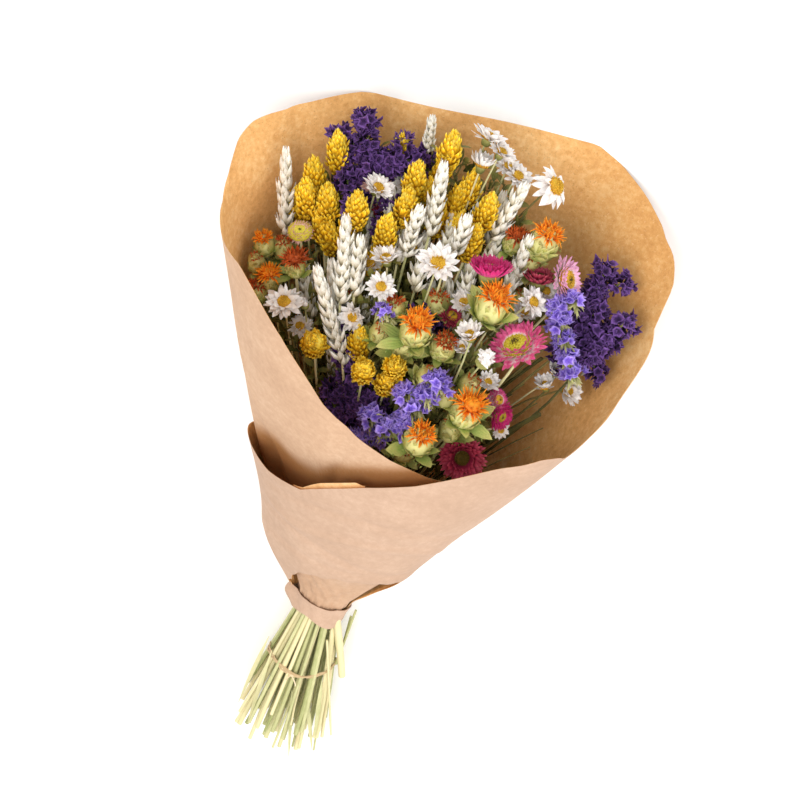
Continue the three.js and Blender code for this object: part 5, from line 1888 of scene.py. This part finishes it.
# %% Lower safflowers
LOWER_SAFFLOWERS = [
    ((395, 306), 4, 14, 6), ((258, 290), 0, 13, 6), ((284, 247), 4, 15, 5), ((438, 302), 12, 17, 5),
    ((404, 346), 6, 18, 1), ((450, 430), 6, 16, 2), ((530, 262), 8, 15, 4), ((380, 332), 10, 15, 3),
    ((256, 262), 2, 14, 2), ((446, 396), 8, 16, 3), ((352, 296), 20, 15, 3), ((520, 300), 16, 15, 3),
    ((428, 378), 8, 18, 2), ((470, 384), 10, 16, 3), ((404, 452), 2, 15, 2),
]
LOWER_BRACTS, LOWER_THREADS, LOWER_TUFT, LOWER_CUPS = 34, 50, 0.8, 16
shapes = []
for at, depth, width, tuft in LOWER_SAFFLOWERS:
    middle = below_crown(*at, depth)
    axis = direction_at(middle, draw.normal(0, 0.15, 2), 0.2)
    threads = tuft * LOWER_TUFT * MM
    shapes.append(safflower_bloom(middle, axis, width * MM, threads, draw, LOWER_BRACTS, LOWER_THREADS))
    on_stalk(middle - axis * ((width * 1.05 + tuft) / 2 - 1.5) * MM, axis, 2.2)
add("lower_safflowers", shapes, [BRACT, RED_ORANGE, LEAF_GREEN], "safflower")
print("lower safflowers", len(shapes))

# %% Lower statice
LOWER_STATICE = [
    (PURPLE, [((346, 168), (352, 208), 8), ((392, 206), (384, 224), 8), ((392, 178), (410, 176), 6)]),
    (PURPLE, [((328, 392), (352, 442), 4), ((346, 332), (350, 372), 8), ((372, 402), (380, 420), 8)]),
    (PURPLE, [((566, 330), (584, 300), 8), ((580, 344), (606, 340), 4), ((420, 316), (434, 326), 20)]),
    (VIOLET, [((392, 430), (366, 446), 0), ((426, 398), (440, 388), 2)]),
]
for number, (finish, branches) in enumerate(LOWER_STATICE, 1):
    ends = [((*a, crown(*a) - depth), (*b, crown(*b) - depth)) for a, b, depth in branches]
    slot, tilt = "statice_purple", VIEWER * 0.3
    if finish is VIOLET:
        slot, tilt = "statice_violet", VIEWER * 0.5 + picture_up * 0.7
    spray = statice_spray(ends, 8, draw, LOWER_CUPS, tilt)
    add(f"lower_statice_{number}", [spray], [finish, LEAF_GREEN], slot)
    for start, end in ends:
        on_stalk(seen(*start), unit(seen(*end) - seen(*start)), 1.6, True)
print("lower statice", len(LOWER_STATICE), "sprays, stalks so far", len(stalk_ends))

# %% [markdown]
# ## Leaves and twigs
#
# Under the blooms the eye sees small dry leaves, thin twigs and seed heads, all in shade. Placing
# hundreds by hand is no use, so a loose grid over the bunch places them, with a seeded draw for
# each: a sprig on its own thin stalk, with leaves that alternate up its length.

# %% Where the bunch is
BUNCH = np.array([
    (252, 250), (284, 222), (300, 186), (334, 150), (366, 130), (430, 138), (486, 150), (520, 176),
    (546, 226), (562, 262), (570, 300), (540, 330), (508, 352), (500, 400), (486, 440), (466, 460),
    (412, 462), (356, 430), (306, 356), (262, 308),
])


def in_bunch(px, py):
    """Whether a place is over the bunch: a ray from it then crosses the outline an odd number of times."""
    x, y = BUNCH.T
    next_x, next_y = np.roll(x, -1), np.roll(y, -1)
    crosses = (y > py) != (next_y > py)
    reach = x + (py - y) / np.where(next_y == y, 1, next_y - y) * (next_x - x)
    return bool((crosses & (reach > px)).sum() % 2)


print("the middle is in the bunch:", in_bunch(*MIDDLE_AT))

# %% A leafy sprig
SPRIG_LENGTH, SPRIG_LEAF, SPRIG_LEAF_WIDTH = 26 * MM, 12 * MM, 5.2 * MM
LEAVES = 8


def sprig(end, axis, leaves, draw):
    """Small leaves round the end of a stalk, smaller towards its tip."""
    i = np.arange(leaves)
    t = (i + 0.5) / leaves
    out = around(axis, i * GOLDEN + draw.uniform(0, 6))
    grow, face = lifted(out, axis, draw.normal(0.75, 0.25, leaves))
    root = end - axis * (SPRIG_LENGTH * (1 - t))[:, None]
    size = (1.1 - 0.4 * t) * draw.uniform(0.8, 1.2, leaves)
    curl, twist = draw.normal(0.2, 0.6, leaves), draw.normal(0, 0.5, leaves)
    tone = draw.uniform(0, 0.9, leaves)
    return blades(root, grow, face, SPRIG_LEAF * size, SPRIG_LEAF_WIDTH * size, 0.35 * MM, LEAF, curl, 0.3,
                  twist, tone)


draw = np.random.default_rng(33)
SPACING = 18
sprigs = []
rows, steps = range(110, 470, SPACING), range(240, 630, SPACING)
for row, py in enumerate(rows):
    for px in steps:
        x, y = px + (row % 2) * SPACING / 2 + draw.uniform(-5, 5), py + draw.uniform(-5, 5)
        if not in_bunch(x, y):
            continue
        end = below_crown(x, y, draw.uniform(8, 34))
        axis = direction_at(end, draw.normal(0, 0.25, 2), 0.1)
        sprigs.append(sprig(end, axis, LEAVES, draw))
        on_stalk(end, axis, 1.2, True)
print("sprigs", len(sprigs))

# %% The sprigs as two pieces
half = len(sprigs) // 2
# Painted shade: the sprigs deep in the bunch take a darker copy of the dry leaf's green.
SHADED_LEAF = blade_finish("shaded leaf", [
    (0.0, paint(74, 80, 34)), (0.5, paint(112, 114, 54)), (1.0, paint(150, 138, 76)),
], 0.4, 0.65, 0.3, 0, wear=paint(130, 104, 58))
add("leafy_sprigs_low", sprigs[:half], [SHADED_LEAF], "safflower")
add("leafy_sprigs_high", sprigs[half:], [SHADED_LEAF], "safflower")
print("most triangles in a piece", max(pieces.values()))

# %% [markdown]
# ## Stalks as pieces
#
# By now every bloom has asked for its stalk, and a few bare sticks and dark twigs at the right are
# added. They could be separate objects, but hundreds of them slow Blender down. So the dark ones
# become one mesh. The pale ones join the cut stems in another, because they are the same stems,
# seen above and below the neck.

# %% Sticks, stalks and stems
STICKS = [
    ((540, 414), 84, 3.2), ((542, 358), 62, 2.6), ((543, 428), 80, 0.8), ((537, 403), 80, 0.8),
    ((530, 447), 86, 0.8), ((512, 394), 84, 1.0), ((524, 384), 80, 0.8),
]
for spot, height, thick in STICKS:
    end = seen(*spot, height)
    on_stalk(end, unit(end - NECK), thick, True)
draw = np.random.default_rng(27)


def stalk_piece(name, dark, finish, *nodes):
    """All stalks of one finish. Those that stand for the stems bring the cut stems along."""
    places, sides = (10, 4) if dark else (14, 6)
    ends = [end for end in stalk_ends if end[3] == dark]
    paths = np.stack([stalk_path(end, axis, places) for end, axis, _, _ in ends])
    thicks = np.array([thick for _, _, thick, _ in ends])[:, None]
    shape = tubes(paths, thicks * np.linspace(1.15, 0.85, places), draw.uniform(0.2, 0.9, len(ends)), sides)
    piece(name, joined([shape, *(stems if nodes else [])]), [finish], "stems", *nodes)


stalk_piece("stems_and_stalks", False, STEM, "stem_bundle")
stalk_piece("bare_sticks", True, DARK_AND_SHADED_STEM)
print("stalks", len(stalk_ends))

# %% [markdown]
# ## The table
#
# The bouquet lies on a plain pale surface. A curved backdrop would hide the table's edge, but one
# flat face, wide enough that its edge stays out of view, takes the same soft shadow. It belongs to
# the stage, not to the bouquet.

# %% The table
HALF_TABLE = 3.0
CORNERS = [(-1, -1), (1, -1), (1, 1), (-1, 1)]
table_mesh = bpy.data.meshes.new("table")
table_mesh.from_pydata([(x * HALF_TABLE, y * HALF_TABLE, 0) for x, y in CORNERS], [], [(0, 1, 2, 3)])
table = bpy.data.objects.new("table", table_mesh)
scene.collection.objects.link(table)
pale = Board("pale table")
grain = pale.noise(pale.place(), 60, 3)
colour = pale.mixed(grain, paint(246, 246, 247), paint(250, 250, 250))
table_mesh.materials.append(pale.finished(colour, 0.8))
print("table", 2 * HALF_TABLE, "m wide")

# %% [markdown]
# ## Sizes and the end
#
# A visual model that has grown past its construction would no longer fit where the construction
# fits. The sizes here are only counts: the triangles of all pieces, and of the largest one.

# %% Sizes
print("triangles", sum(pieces.values()), "most in a piece", max(pieces.values()))
